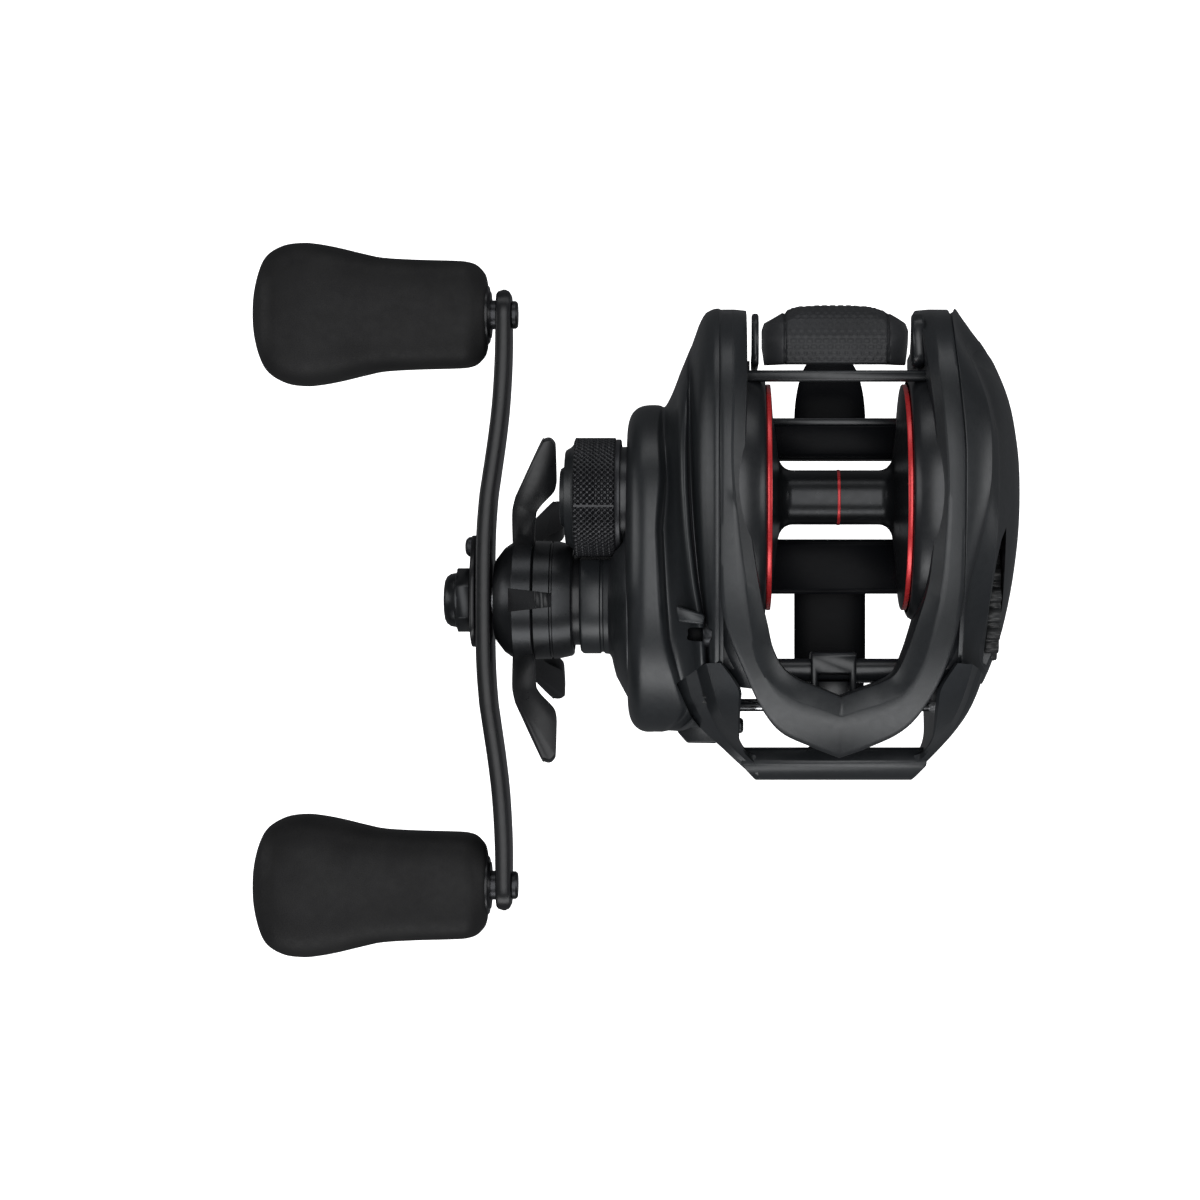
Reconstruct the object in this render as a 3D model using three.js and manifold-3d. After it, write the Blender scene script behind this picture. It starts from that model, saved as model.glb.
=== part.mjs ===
// A low-profile baitcasting reel, right-hand wind, in millimetres.
// +X runs from the handle to the palm side, +Y to the rear, +Z up.
// The origin is the centre of the foot's underside.
import * as THREE from "three";
import { mergeVertices } from "three/addons/utils/BufferGeometryUtils.js";
import Module from "manifold-3d";

const wasm = await Module();
wasm.setup();

// ---------- driving dimensions (mm) ----------
const GAP = 0.2; // air left between pieces that rest on each other
const FAR = 80; // reaches past the whole body, for cutting tools

// the three parallel axes, all along X
const SPOOL = { y: 7, z: 22.5 };
const SHAFT = { y: -9, z: 17.5 };
const WORM = { y: -20, z: 23.645 };
const AXIS_DISTANCE = Math.hypot(SPOOL.y - SHAFT.y, SPOOL.z - SHAFT.z);
const GUIDE_ROD = { y: -25.6, z: 17 };
const WORM_DISTANCE = Math.hypot(WORM.y - SHAFT.y, WORM.z - SHAFT.z);

// gears
const DRIVE_TEETH = 63, PINION_TEETH = 10;
const WIND_DRIVE_TEETH = 26, WIND_TEETH = 16;
const DRIVE_MODULE = (2 * AXIS_DISTANCE) / (DRIVE_TEETH + PINION_TEETH);
const WIND_MODULE = (2 * WORM_DISTANCE) / (WIND_DRIVE_TEETH + WIND_TEETH);
const WIND_FACE = [-20.7, -18.7]; // X range of the level wind's two gears

// body
const WALL_IN = 11.5, WALL_OUT = 14.5; // the frame's side walls, each side of the spool
const RIM_OUT = 17.85, RIM_THICK = 1.8; // the rim round each side wall, out to the covers
const SEAM_GEAR = -18.05, SEAM_PALM = 18.8; // where the covers meet the frame
const COVER_WALL = 1.6;
const COVER_FACE = -32.5; // outer face of the gear housing
const FOOT = { halfWidth: 5.8, halfLength: 31.5, thick: 2.2 };

// spool
const SPOOL_R = 17.6, ARBOR_R = 4.25, RIM_X = 10.95;
const RING_R = SPOOL_R + 0.4; // the frame's opening round the spool's rims
const SPOOL_SHAFT_R = 1.1;

// handle
const ARM_REACH = 45; // shaft axis to knob spindle
const ARM_WIDTH = 11, ARM_END_R = 4;
const KNOB_R = 11.2, KNOB_FLAT = 0.74; // the paddle is this much thinner than it is wide
const STAR_R = 26.6, STAR_ARMS = 5;
const RETAINER_SCREW_Y = 8.4; // from the shaft axis

// clutch
const THUMB_TRAVEL = 4.5, YOKE_TRAVEL = 1.25;
const RAMP = YOKE_TRAVEL / THUMB_TRAVEL;

// ---------- helpers ----------
const paint = (color, roughness, metalness) =>
  new THREE.MeshStandardMaterial({ color, roughness, metalness });
const BODY = () => paint(0x2b2f33, 0.45, 0.3);
const BLACK = () => paint(0x17181a, 0.35, 0.5);
const RUBBER = () => paint(0x232324, 0.9, 0);
const RED = () => paint(0xb3242b, 0.35, 0.6);
const STEEL = () => paint(0xb8bcc0, 0.25, 1);
const BRASS = () => paint(0xb28d45, 0.35, 0.9);
const NYLON = () => paint(0xd8d6cc, 0.6, 0);
const CARBON = () => paint(0x1c1c1c, 0.8, 0);

// A closed geometry as a manifold-3d solid, facing out.
function solid(geometry) {
  const plain = geometry.index ? geometry.toNonIndexed() : geometry.clone();
  plain.deleteAttribute("normal");
  plain.deleteAttribute("uv");
  const merged = mergeVertices(plain, 1e-4);
  const all = merged.index.array, kept = [];
  for (let i = 0; i < all.length; i += 3) {
    const [a, b, c] = [all[i], all[i + 1], all[i + 2]];
    if (a !== b && b !== c && c !== a) kept.push([a, b, c]);
  }
  const made = (triangles) =>
    new wasm.Manifold(
      new wasm.Mesh({
        numProp: 3,
        vertProperties: merged.attributes.position.array,
        triVerts: new Uint32Array(triangles.flat()),
      }),
    );
  const first = made(kept);
  return first.volume() > 0 ? first : made(kept.map(([a, b, c]) => [a, c, b]));
}

// A solid as a named mesh.
function piece(name, body, material) {
  const mesh = body.getMesh(), step = mesh.numProp;
  const positions = new Float32Array(mesh.numVert * 3);
  for (let i = 0; i < mesh.numVert; i++)
    positions.set(mesh.vertProperties.subarray(i * step, i * step + 3), i * 3);
  const geometry = new THREE.BufferGeometry();
  geometry.setAttribute("position", new THREE.BufferAttribute(positions, 3));
  geometry.setIndex(new THREE.BufferAttribute(mesh.triVerts, 1));
  geometry.computeVertexNormals();
  const made = new THREE.Mesh(geometry, material);
  made.name = name;
  return made;
}

const union = (...bodies) => bodies.reduce((a, b) => a.add(b));
const cut = (body, ...tools) => tools.reduce((a, b) => a.subtract(b), body);

const shapeOf = (points) => new THREE.Shape(points.map(([a, b]) => new THREE.Vector2(a, b)));

function extruded(points, depth) {
  return new THREE.ExtrudeGeometry(shapeOf(points), { depth, bevelEnabled: false });
}

// Outline in (Y, Z), thick along X.
function alongX(points, x0, x1) {
  const turn = new THREE.Matrix4().makeBasis(
    new THREE.Vector3(0, 1, 0), new THREE.Vector3(0, 0, 1), new THREE.Vector3(1, 0, 0));
  return solid(extruded(points, x1 - x0).applyMatrix4(turn).translate(x0, 0, 0));
}

// Outline in (X, Z), thick along Y.
function alongY(points, y0, y1) {
  const turn = new THREE.Matrix4().makeBasis(
    new THREE.Vector3(1, 0, 0), new THREE.Vector3(0, 0, 1), new THREE.Vector3(0, -1, 0));
  return solid(extruded(points, y1 - y0).applyMatrix4(turn).translate(0, y1, 0));
}

// Outline in (X, Y), thick along Z.
const alongZ = (points, z0, z1) => solid(extruded(points, z1 - z0).translate(0, 0, z0));

// A smooth closed outline through the points.
function smooth(points, count = 56) {
  const curve = new THREE.CatmullRomCurve3(
    points.map(([a, b]) => new THREE.Vector3(a, b, 0)), true, "centripetal");
  return curve.getSpacedPoints(count).slice(0, count).map((p) => [p.x, p.y]);
}

function circle(y, z, r, count = 20) {
  return Array.from({ length: count }, (_, i) => {
    const a = (2 * Math.PI * i) / count;
    return [y + r * Math.cos(a), z + r * Math.sin(a)];
  });
}

// A profile of [x, radius] pairs turned about X.
function turned(profile, segments = 24) {
  const points = profile.map(([x, r]) => new THREE.Vector2(r, x));
  return solid(new THREE.LatheGeometry(points, segments).rotateZ(-Math.PI / 2));
}
const rod = (x0, x1, r, segments = 16) => turned([[x0, 0], [x0, r], [x1, r], [x1, 0]], segments);
const ring = (x0, x1, r, bore, segments = 24) =>
  turned([[x0, bore], [x0, r], [x1, r], [x1, bore], [x0, bore]], segments);

const moved = (body, x, y, z) => body.translate([x, y, z]);
const at = (body, axis, x = 0) => moved(body, x, axis.y, axis.z);

function box(x0, x1, y0, y1, z0, z1) {
  const made = new THREE.BoxGeometry(x1 - x0, y1 - y0, z1 - z0);
  return solid(made.translate((x0 + x1) / 2, (y0 + y1) / 2, (z0 + z1) / 2));
}

// A closed skin through outlines in (Y, Z), each at its own X; all have the same number of points.
function loft(sections) {
  const count = sections[0].points.length, rows = sections.length;
  const positions = [], index = [];
  for (const { x, points } of sections)
    for (const [y, z] of points) positions.push(x, y, z);
  for (let row = 0; row + 1 < rows; row++)
    for (let i = 0; i < count; i++) {
      const j = (i + 1) % count;
      const a = row * count + i, b = row * count + j, c = a + count, d = b + count;
      index.push(a, b, d, a, d, c);
    }
  for (const row of [0, rows - 1]) {
    const outline = sections[row].points.map(([y, z]) => new THREE.Vector2(y, z));
    for (const [a, b, c] of THREE.ShapeUtils.triangulateShape(outline, [])) {
      const face = [a, b, c].map((v) => v + row * count);
      index.push(...(row ? face : face.reverse()));
    }
  }
  const geometry = new THREE.BufferGeometry();
  geometry.setAttribute("position", new THREE.Float32BufferAttribute(positions, 3));
  geometry.setIndex(index);
  return solid(geometry);
}

// The outline of an involute spur gear about the origin; a tooth is centred on the angle phase.
function gearOutline(teeth, module, phase, shape = {}) {
  const { addendum = 0.85, dedendum = 1.15, fill = 0.84, flank = 0 } = shape;
  const pitch = (teeth * module) / 2, base = pitch * Math.cos(Math.PI / 9);
  const tip = pitch + addendum * module, root = pitch - dedendum * module;
  const involute = (a) => Math.tan(a) - a;
  const halfAngle = (r) =>
    (fill * Math.PI) / (2 * teeth) + involute(Math.PI / 9) -
    involute(Math.acos(Math.min(1, base / Math.max(r, base))));
  const radii = flank ? [root, Math.max(root, base), pitch, tip] : [root, tip];
  const points = [];
  for (let k = 0; k < teeth; k++) {
    const centre = phase + (2 * Math.PI * k) / teeth;
    for (const r of radii) points.push([r, centre - halfAngle(r)]);
    for (const r of [...radii].reverse()) points.push([r, centre + halfAngle(r)]);
  }
  return points
    .filter(([r, a], i) => {
      const [s, b] = points[(i + 1) % points.length];
      return Math.hypot(r * Math.cos(a) - s * Math.cos(b), r * Math.sin(a) - s * Math.sin(b)) > 1e-3;
    })
    .map(([r, a]) => [r * Math.cos(a), r * Math.sin(a)]);
}

// A template outline stretched to its front, rear, bottom and top.
const BODY_TEMPLATE = [
  [1, 0.02], [0.94, 0.48], [0.64, 0.86], [0.17, 1], [-0.32, 0.93], [-0.7, 0.66],
  [-0.96, 0.2], [-1, -0.3], [-0.83, -0.78], [-0.36, -1], [0.27, -0.99], [0.76, -0.68],
];
function stretched(front, rear, bottom, top, count = 28) {
  return smooth(BODY_TEMPLATE, count).map(([u, v]) => [
    (front + rear) / 2 + (u * (rear - front)) / 2,
    (bottom + top) / 2 + (v * (top - bottom)) / 2,
  ]);
}
const shell = (rows, inset) =>
  loft(rows.map(([x, front, rear, bottom, top]) => ({
    x,
    points: stretched(front + inset, rear - inset, bottom + inset, top - inset),
  })));

// ---------- groups ----------
const reel = new THREE.Group();
const onAxis = (axis) => {
  const group = new THREE.Group();
  group.position.set(0, axis.y, axis.z);
  reel.add(group);
  return group;
};
const shaftLine = onAxis(SHAFT);
const spoolLine = onAxis(SPOOL);
const wormLine = onAxis(WORM);

// ---------- the body's side view, as points (Y, Z) ----------
const SIDE = [
  [20, 2.4], [29, 7], [34.2, 14], [35.8, 22.5], [34.4, 30.8], [28.5, 37.8], [19, 41.8], [8, 43],
  [-4, 42], [-15, 38.8], [-25, 34], [-32, 28.8], [-36.2, 22.5], [-37.8, 15.5], [-36.4, 9.6],
  [-30, 5.2], [-18, 2], [0, 1.2],
];
const side = smooth(SIDE, 36);
// The same outline moved inwards, point by point.
const inset = (points, by) => points.map(([y, z], i) => {
  const [py, pz] = points[(i + points.length - 1) % points.length];
  const [ny, nz] = points[(i + 1) % points.length];
  const length = Math.hypot(ny - py, nz - pz);
  return [y - (by * (nz - pz)) / length, z + (by * (ny - py)) / length];
});
const COWL_THICK = 1.4;
// the frame's outline, just under the cowl
const underCowl = inset(side, COWL_THICK + GAP);

// plan view of the cowl: outer edge, then inner edge, as points (X, Y)
const cowlPlan = [
  [-18.05, 36.5], [-18.05, -6], [-17.6, -11], [-16.5, -14.4], [-15, -18.2], [-12, -25],
  [-8.8, -29.3], [-3, -32], [0.4, -33.4], [3.6, -32.2], [9.4, -29.4], [12.6, -26.1], [15.6, -21.2],
  [18, -13.5], [18.8, -7], [18.8, 21], [16.9, 36.5],
  [13.4, 36.5], [13.5, 27.3], [13.8, 21], [14.7, 14.9], [14.4, 5.9], [13.4, -4.5], [12.1, -10.5],
  [10.8, -15], [9.3, -19.3], [6.3, -21.5], [0.4, -23.7], [-5.9, -21.1], [-9.1, -18.1],
  [-10.8, -12.8], [-12.5, -4.5], [-13.6, 3], [-14.2, 14.9], [-13.9, 21], [-13.9, 36.5],
];

function topCowl() {
  const skin = cut(alongX(side, -FAR, FAR), alongX(inset(side, COWL_THICK), -FAR - 1, FAR + 1));
  const above = box(-FAR, FAR, -34.5, 36.5, 24.5, 60);
  const rearEnds = box(-FAR, FAR, 24, 36.5, 17, 60);
  return alongZ(cowlPlan, -5, 60).intersect(skin).intersect(union(above, rearEnds));
}

// ---------- the frame ----------
const CROSSBAR_TOP = 13.6;
const GUSSET_GEAR = [ // plan views, as points (X, Y)
  [-14.4, -19.2], [-17.7, -18.9], [-21.1, -19.6], [-24.7, -22.2], [-23.4, -26], [-19.1, -31.3],
  [-14.4, -35.8],
];
const GUSSET_PALM = [
  [14.8, -19.2], [18.9, -18.9], [22.6, -19.4], [23.3, -22.2], [20.9, -26.6], [18.1, -30.7],
  [14.8, -34.4],
];
const CROSSBAR = [
  [-14.6, -31.4], [-13.2, -33.5], [12.8, -33.5], [15, -31.4], [15, -34.2], [11.8, -38.2],
  [-11.3, -38.2], [-14.6, -35.7],
];

// the rounded front corners: X, front, rear, bottom, top
const CHEEK_GEAR = [
  [-12, -37.8, 35.8, 1.2, 42.9], [-15, -35.4, 35.8, 1.6, 42.9], [-19.1, -31.4, 35, 3, 41.8],
  [-22.5, -26.4, 33, 6, 38.6], [-24.9, -21.5, 30, 9, 34],
];
const CHEEK_PALM = [
  [12, -37.8, 35.8, 1.2, 42.9], [15, -34.3, 35.8, 1.6, 42.9], [18.1, -30.9, 35.4, 2.4, 42.8],
  [21, -26.7, 33, 4.4, 40.4], [23.4, -22, 29, 7, 37.4],
];

function frame() {
  const walls = [-1, 1].map((s) => {
    const [a, b] = [s * WALL_IN, s * WALL_OUT].sort((p, q) => p - q);
    const [c, d] = [s * WALL_OUT, s * RIM_OUT].sort((p, q) => p - q);
    const rim = cut(alongX(underCowl, c, d), alongX(inset(underCowl, RIM_THICK), c - 1, d + 1));
    return union(alongX(underCowl, a, b), rim);
  });
  // the palm wall is a ring that the spool passes through
  const palmWall = walls[1].subtract(at(rod(0, FAR, RING_R, 32), SPOOL));
  const gearWall = cut(walls[0],
    at(rod(-FAR, 0, 6.5, 32), SPOOL), // pinion and its bearing land
    at(rod(-FAR, 0, 1.7, 16), WORM),
    at(rod(-FAR, 0, 3.2, 20), SHAFT),
    box(-FAR, -WALL_IN + 1, 24.6, 29.2, 13, 25.4)); // slot for the clutch link
  // dished seat round the spool's gear-side rim
  const seat = at(rod(-WALL_IN - 0.6, -WALL_IN + 1, RING_R, 32), SPOOL);
  const bars = [
    box(-12, 12, 13.5, 20.3, FOOT.thick + GAP, 9.8),
    box(-12, 12, -8, 0.8, FOOT.thick + GAP, 9.2),
    box(-12, 12, 24.4, 26.1, 30, 32),
  ];
  const cheeks = union(shell(CHEEK_GEAR, 0), alongX(side, -12.2, 12.2), shell(CHEEK_PALM, 0));
  const front = cheeks.intersect(union(
    alongZ(GUSSET_GEAR, 6, 60), alongZ(GUSSET_PALM, 6, 60), alongZ(CROSSBAR, 6, CROSSBAR_TOP)));
  const underHood = alongZ(cowlPlan, 0, 60).subtract(alongX(underCowl, -FAR, FAR));
  const gussets = cut(front, ...[GEAR_COVER, PALM_DOME].map((rows) => shell(rows, -0.3)), underHood);
  const spoolSweep = at(rod(-WALL_IN, FAR, RING_R, 32), SPOOL);
  const tabPockets = [-1, 1].map((s) => {
    const [a, b] = [s * (WALL_IN - 0.5), s * 13.9].sort((p, q) => p - q);
    return box(a, b, 26.3, 37, 14, 60);
  });
  const screwBosses = COVER_SCREWS.map(([y, z]) => moved(rod(-RIM_OUT, -14, 2.2, 16), 0, y, z));
  const rearBoss = screwBosses[0], frontBoss = screwBosses[1].intersect(alongX(underCowl, -FAR, FAR));
  return cut(union(palmWall, gearWall, ...bars, gussets, rearBoss, frontBoss), seat, spoolSweep,
    ...tabPockets,
    at(rod(-FAR, FAR, 1.3, 16), GUIDE_ROD),
    at(rod(-FAR, 14, 1.7, 16), WORM),
    ...COVER_SCREWS.map(([y, z]) => moved(rod(-FAR, -14.6, 1.2, 12), 0, y, z)));
}

// ---------- covers ----------
// rows: X, front, rear, bottom, top
const GEAR_COVER = [
  [SEAM_GEAR, -28.4, 35.6, 1.2, 42.8], [-20.2, -28.6, 34, 1.1, 42], [-22.8, -28.9, 29.4, 0.9, 39.8],
  [-25, -29.2, 23.8, 0.5, 37.4], [-26.4, -29.4, 21.2, 0.3, 36.7], [-29.6, -29.5, 21, 0.2, 36.5],
  [-31.3, -28.8, 20.1, 1.2, 35.6], [COVER_FACE, -26.4, 17.6, 3.6, 33.2],
];
const PALM_DOME = [
  [SEAM_PALM + 0.1, -28.4, 35.6, 1.2, 42.8], [22, -25.2, 30.8, 3, 39.8], [25.4, -17.8, 25.2, 6.6, 35],
  [26.7, -13, 21.6, 8.8, 32], [28, -6, 16.4, 12.4, 28.6], [28.9, 1, 10, 18.4, 24.6],
];
const BOSS_R = 8.45, BOSS_END = -39.9;
const CAP_R = 9.29, CAP_BOSS_R = 7.9;

// floor inside the gear cover, which the yoke posts and their springs stand on
const SEAT_X = -28.9;

function gearCover() {
  const outside = shell(GEAR_COVER, 0);
  const room = box(SEAT_X, FAR, -FAR, FAR, -FAR, FAR);
  const cavity = shell(GEAR_COVER.slice(0, -1).map(([x, ...rest], i) =>
    [i ? x + COVER_WALL : x + 2, ...rest]), COVER_WALL).intersect(room);
  const boss = at(turned([
    [-31.5, 0], [-31.5, 15.6], [-32.5, 15.4], [-34, 12.9], [-34.6, 11], [-35.2, 8.6],
    [BOSS_END + 0.3, BOSS_R], [BOSS_END, BOSS_R - 0.3], [BOSS_END, 0],
  ].reverse(), 24), SHAFT).intersect(box(-FAR, 0, -FAR, FAR, 0.8, FAR));
  const capBoss = at(rod(-39.2, -30.9, CAP_BOSS_R, 24), SPOOL);
  const pinionSeat = at(ring(-31.2, SEAT_X, 6, 4.75, 24), SPOOL);
  const bores = [
    at(rod(-38.9, -29, 6.4, 24), SHAFT),
    at(rod(-FAR, -20, 4, 20), SHAFT),
    at(rod(-32.2, -20, 4.75, 24), SPOOL),
    at(rod(-FAR, -20, 2.9, 20), SPOOL),
    at(rod(-FAR, -35.2, 4.3, 24), SPOOL),
    // clearance round the tension cap
    at(ring(-60, -32.8, CAP_R + 0.5, CAP_BOSS_R, 24), SPOOL),
  ];
  const scallop = at(rod(-60, -39.1, CAP_R + 0.5, 24), SPOOL);
  const screwHoles = COVER_SCREWS.map(([y, z, x]) =>
    moved(union(rod(-4, 6, 1.3, 12), rod(-6, 0, 2.4, 16)), x, y, z));
  const screwSeats = COVER_SCREWS.map(([y, z, x]) =>
    moved(rod(0, SEAM_GEAR - x, 2.6, 16), x, y, z).intersect(outside));
  return cut(union(outside.subtract(cavity), boss, capBoss, pinionSeat, ...screwSeats),
    ...bores, scallop, ...screwHoles);
}
// Y, Z and head seat X of the screws through the gear cover
const COVER_SCREWS = [[25.5, 10.5, -21.6], [-14, 35.2, -19.4]];

function palmCover() {
  const outside = shell(PALM_DOME, 0);
  const rows = PALM_DOME.slice(0, -1).map((row, i) => (i ? row : [SEAM_PALM - 2, ...row.slice(1)]));
  const cavity = shell([...rows, [27.3, 0, 11, 17, 26]], COVER_WALL);
  const dialPocket = at(ring(22.5, 25.6, DIAL_R + 0.5, 2.2, 32), DIAL);
  const boss = at(rod(20, 27.2, 2, 16), DIAL);
  return cut(union(outside.subtract(cavity), boss.intersect(outside)), dialPocket);
}
const DIAL = { y: -8.6, z: 20.4 };
const DIAL_R = 10, DIAL_TEETH = 18;

// ---------- root pieces ----------
// The foot is in two halves, each under its own bar of the frame, with the spool's gap between them.
const FOOT_SCREWS = [-3.6, 16.9];
const FOOT_GAP = { front: 0.8, rear: 13.5 };
function footHalf(y0, y1) {
  const { halfWidth: w, halfLength: l, thick } = FOOT;
  const plan = smooth([
    [w, 0], [w, 14], [w - 0.5, 25], [w - 1.4, l - 2.5], [w - 3.4, l], [3.4 - w, l], [1.4 - w, l - 2.5],
    [0.5 - w, 25], [-w, 14], [-w, 0], [-w, -14], [0.5 - w, -25], [1.4 - w, 2.5 - l], [3.4 - w, -l],
    [w - 3.4, -l], [w - 1.4, 2.5 - l], [w - 0.5, -25], [w, -14],
  ], 34);
  const profile = [[-l - 1, 0], [l + 1, 0], [l + 1, 1], [l - 9, thick], [9 - l, thick], [-l - 1, 1]];
  const holes = FOOT_SCREWS.map((y) => upright(union(rod(-1, 5, 1.25, 16), rod(-1, 1.3, 2.4, 20)), y));
  const whole = alongZ(plan, -1, 4).intersect(alongX(profile, -FAR, FAR));
  return cut(whole.intersect(box(-FAR, FAR, y0, y1, -FAR, FAR)), ...holes);
}
// A piece turned about X, stood upright on (0, y, 0).
const upright = (body, y) => moved(body.rotate([0, -90, 0]), 0, y, 0);
const footScrew = (y) => upright(union(rod(0.15, 1.1, 2.15, 20), rod(1, 5.4, 1.05, 14)), y);
const footScrewHole = (y) => upright(rod(-1, 5.7, 1.25, 16), y);

// Inner plate that carries the drive shaft's bearing and the yoke's posts.
const PLATE = { x0: -17.4, x1: -15.9 };
const SHAFT_BEARING_R = 3.4;
function gearPlate() {
  const outline = inset(underCowl, 2.4).filter(([y]) => y < 21.5 && y > -19);
  return cut(alongX(outline, PLATE.x0, PLATE.x1),
    at(rod(-30, 0, SHAFT_BEARING_R + GAP, 20), SHAFT),
    at(rod(-30, 0, 3.2, 20), SPOOL),
    ...COVER_SCREWS.map(([y, z]) => moved(rod(-30, 0, 2.6, 16), 0, y, z)));
}

// A rolling bearing: its two races joined by the balls' row, as one ring with grooved faces.
function bearing(x0, x1, r, bore) {
  const groove = 0.3, a = bore + (r - bore) * 0.35, b = bore + (r - bore) * 0.7;
  return turned([
    [x0, bore], [x0, a], [x0 + groove, (a + b) / 2], [x0, b], [x0, r],
    [x1, r], [x1, bore], [x0, bore],
  ], 16);
}

// A helical spring along X.
function spring(x0, x1, r, wire, turns) {
  const path = new THREE.CatmullRomCurve3(
    Array.from({ length: turns * 8 + 1 }, (_, i) => {
      const t = i / (turns * 8), a = 2 * Math.PI * turns * t;
      return new THREE.Vector3(x0 + (x1 - x0) * t, r * Math.cos(a), r * Math.sin(a));
    }));
  const section = circle(0, 0, wire / 2, 4);
  return solid(new THREE.ExtrudeGeometry(shapeOf(section), { steps: turns * 8, extrudePath: path }));
}

// ---------- clutch ----------
const POST_UPPER = { y: 4.2, z: 31.6 }, POST_LOWER = { y: 9.8, z: 13.4 };
const POST_R = 1;
const YOKE = { x0: -21, x1: -19.8 };
const CAM = { x0: -18.6, x1: -17.8 };
// feet of the yoke, each with the cam's ramp just above it: Y and Z ranges
const FEET = [{ y0: 11.3, y1: 13.6, z0: 14.5, z1: 17 }, { y0: 11.3, y1: 13.6, z0: 24.5, z1: 27 }];

function yoke() {
  const outline = [
    [2.2, 34], [6.2, 34], [8.6, 30.4], [10.8, 27], [13.6, 27], [13.6, 24.5], [10.9, 24.5], [10.9, 17],
    [13.6, 17], [13.6, 14.5], [12.4, 14.2], [12, 11], [7.6, 11], [7, 15], [3.4, 18.6], [3.4, 26],
    [1.8, 30],
  ];
  const feet = FEET.map((f) => box(YOKE.x1 - 0.5, CAM.x0 - 0.15, f.y0, f.y1, f.z0, f.z1));
  return cut(union(alongX(outline, YOKE.x0, YOKE.x1), ...feet),
    at(rod(-30, 0, 2.25, 24), SPOOL),
    box(-30, 0, 0, SPOOL.y, SPOOL.z - 2.25, SPOOL.z + 2.25),
    ...[POST_UPPER, POST_LOWER].map((p) => at(rod(-30, 0, POST_R + 0.15, 16), p)));
}

function clutchCam() {
  const plate = union(
    box(CAM.x0, CAM.x1, 11.3, 14.3, 13.4, 32.6),
    box(CAM.x0, CAM.x1, 14.2, 28.2, 19.6, 23.6),
    box(CAM.x0, -13.2 - GAP, 25.4, 28.2, 19.6, 23.6));
  const ramps = FEET.map(({ y0, y1, z1 }) => {
    const foot = z1 + 0.1, top = foot + THUMB_TRAVEL + (z1 > 20 ? 1 : 0.4);
    const rise = CAM.x0 - YOKE_TRAVEL;
    return alongY([
      [CAM.x0 + 0.4, foot], [CAM.x0, foot], [rise, foot + YOKE_TRAVEL / RAMP],
      [rise, top], [CAM.x0 + 0.4, top],
    ], y0, y1);
  });
  return union(plate, ...ramps);
}

// The pinion, about the spool's axis: slotted end, groove for the yoke, teeth, bearing journal.
function pinion() {
  const toDrive = Math.atan2(SHAFT.z - SPOOL.z, SHAFT.y - SPOOL.y);
  const core = turned([
    [-29.8, 1.3], [-29.8, 1.75], [-27.4, 1.75], [-27.4, 1.6], [-21.9, 1.6], [-21.9, 3.1], [-21.3, 3.1],
    [-21.3, 2], [-19.5, 2], [-19.5, 3.1], [-18.9, 3.1], [-18.9, 2.7], [-13.1, 2.7], [-13.1, 1.3],
    [-29.8, 1.3],
  ], 14);
  const halfTooth = Math.PI / PINION_TEETH;
  const outline = gearOutline(PINION_TEETH, DRIVE_MODULE, toDrive + halfTooth, { flank: 1 });
  const teeth = alongX(outline, -27.6, -21.8);
  const slot = box(-14.6, -12, -0.62, 0.62, -4, 4);
  return cut(union(core, teeth), rod(-40, 0, 1.3, 20), slot);
}

function thumbBar() {
  // side view of the pad, then its plan with rounded ends
  const pad = [
    [27.4, 31.4], [29, 32.3], [31.5, 32.4], [34, 31.2], [35.8, 28.8], [36.3, 26.4], [35.2, 25.6],
    [32, 27.6], [28.4, 28.4],
  ];
  const plan = [
    [-11.8, 27.2], [11.8, 27.2], [12.2, 33], [10.6, 33.4], [8.6, 35.4], [4.6, 36.1], [0, 36.3],
    [-4.6, 36.1], [-8.6, 35.4], [-10.6, 33.4], [-12.2, 33],
  ];
  const body = alongX(smooth(pad, 26), -12.4, 12.4).intersect(alongZ(plan, 0, 60));
  const tabs = [-1, 1].map((s) => {
    const [a, b] = [s * 11.8, s * 13.4].sort((p, q) => p - q);
    return alongX([[26.6, 20.4], [30, 19.6], [34.6, 24], [34.8, 28.6], [32, 31], [26.6, 31]], a, b);
  });
  return union(body, ...tabs);
}

// ---------- spool ----------
function spool() {
  const half = [ // from the middle of the arbor outwards, then back along the bore
    [6.8, ARBOR_R], [8.2, 4.9], [9, 6.2], [9.9, 13],
    [10.25, SPOOL_R], [RIM_X, SPOOL_R], [RIM_X, 16.4], [10.3, 9], [10.1, 1.55],
  ];
  const mirror = half.map(([x, r]) => [-x, r]).reverse();
  return turned([...mirror, ...half, mirror[0]], 28);
}

function spoolShaft() {
  const body = turned([
    [-38.2, 0], [-38.2, 0.7], [-37.9, SPOOL_SHAFT_R], [-10.3, SPOOL_SHAFT_R], [-10.3, 1.42],
    [11.4, 1.42], [11.4, 1.2], [17, 1.2], [17, 0],
  ], 20);
  return body.subtract(box(-14.25, -13.15, -0.5, 0.5, -3, 3));
}

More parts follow.
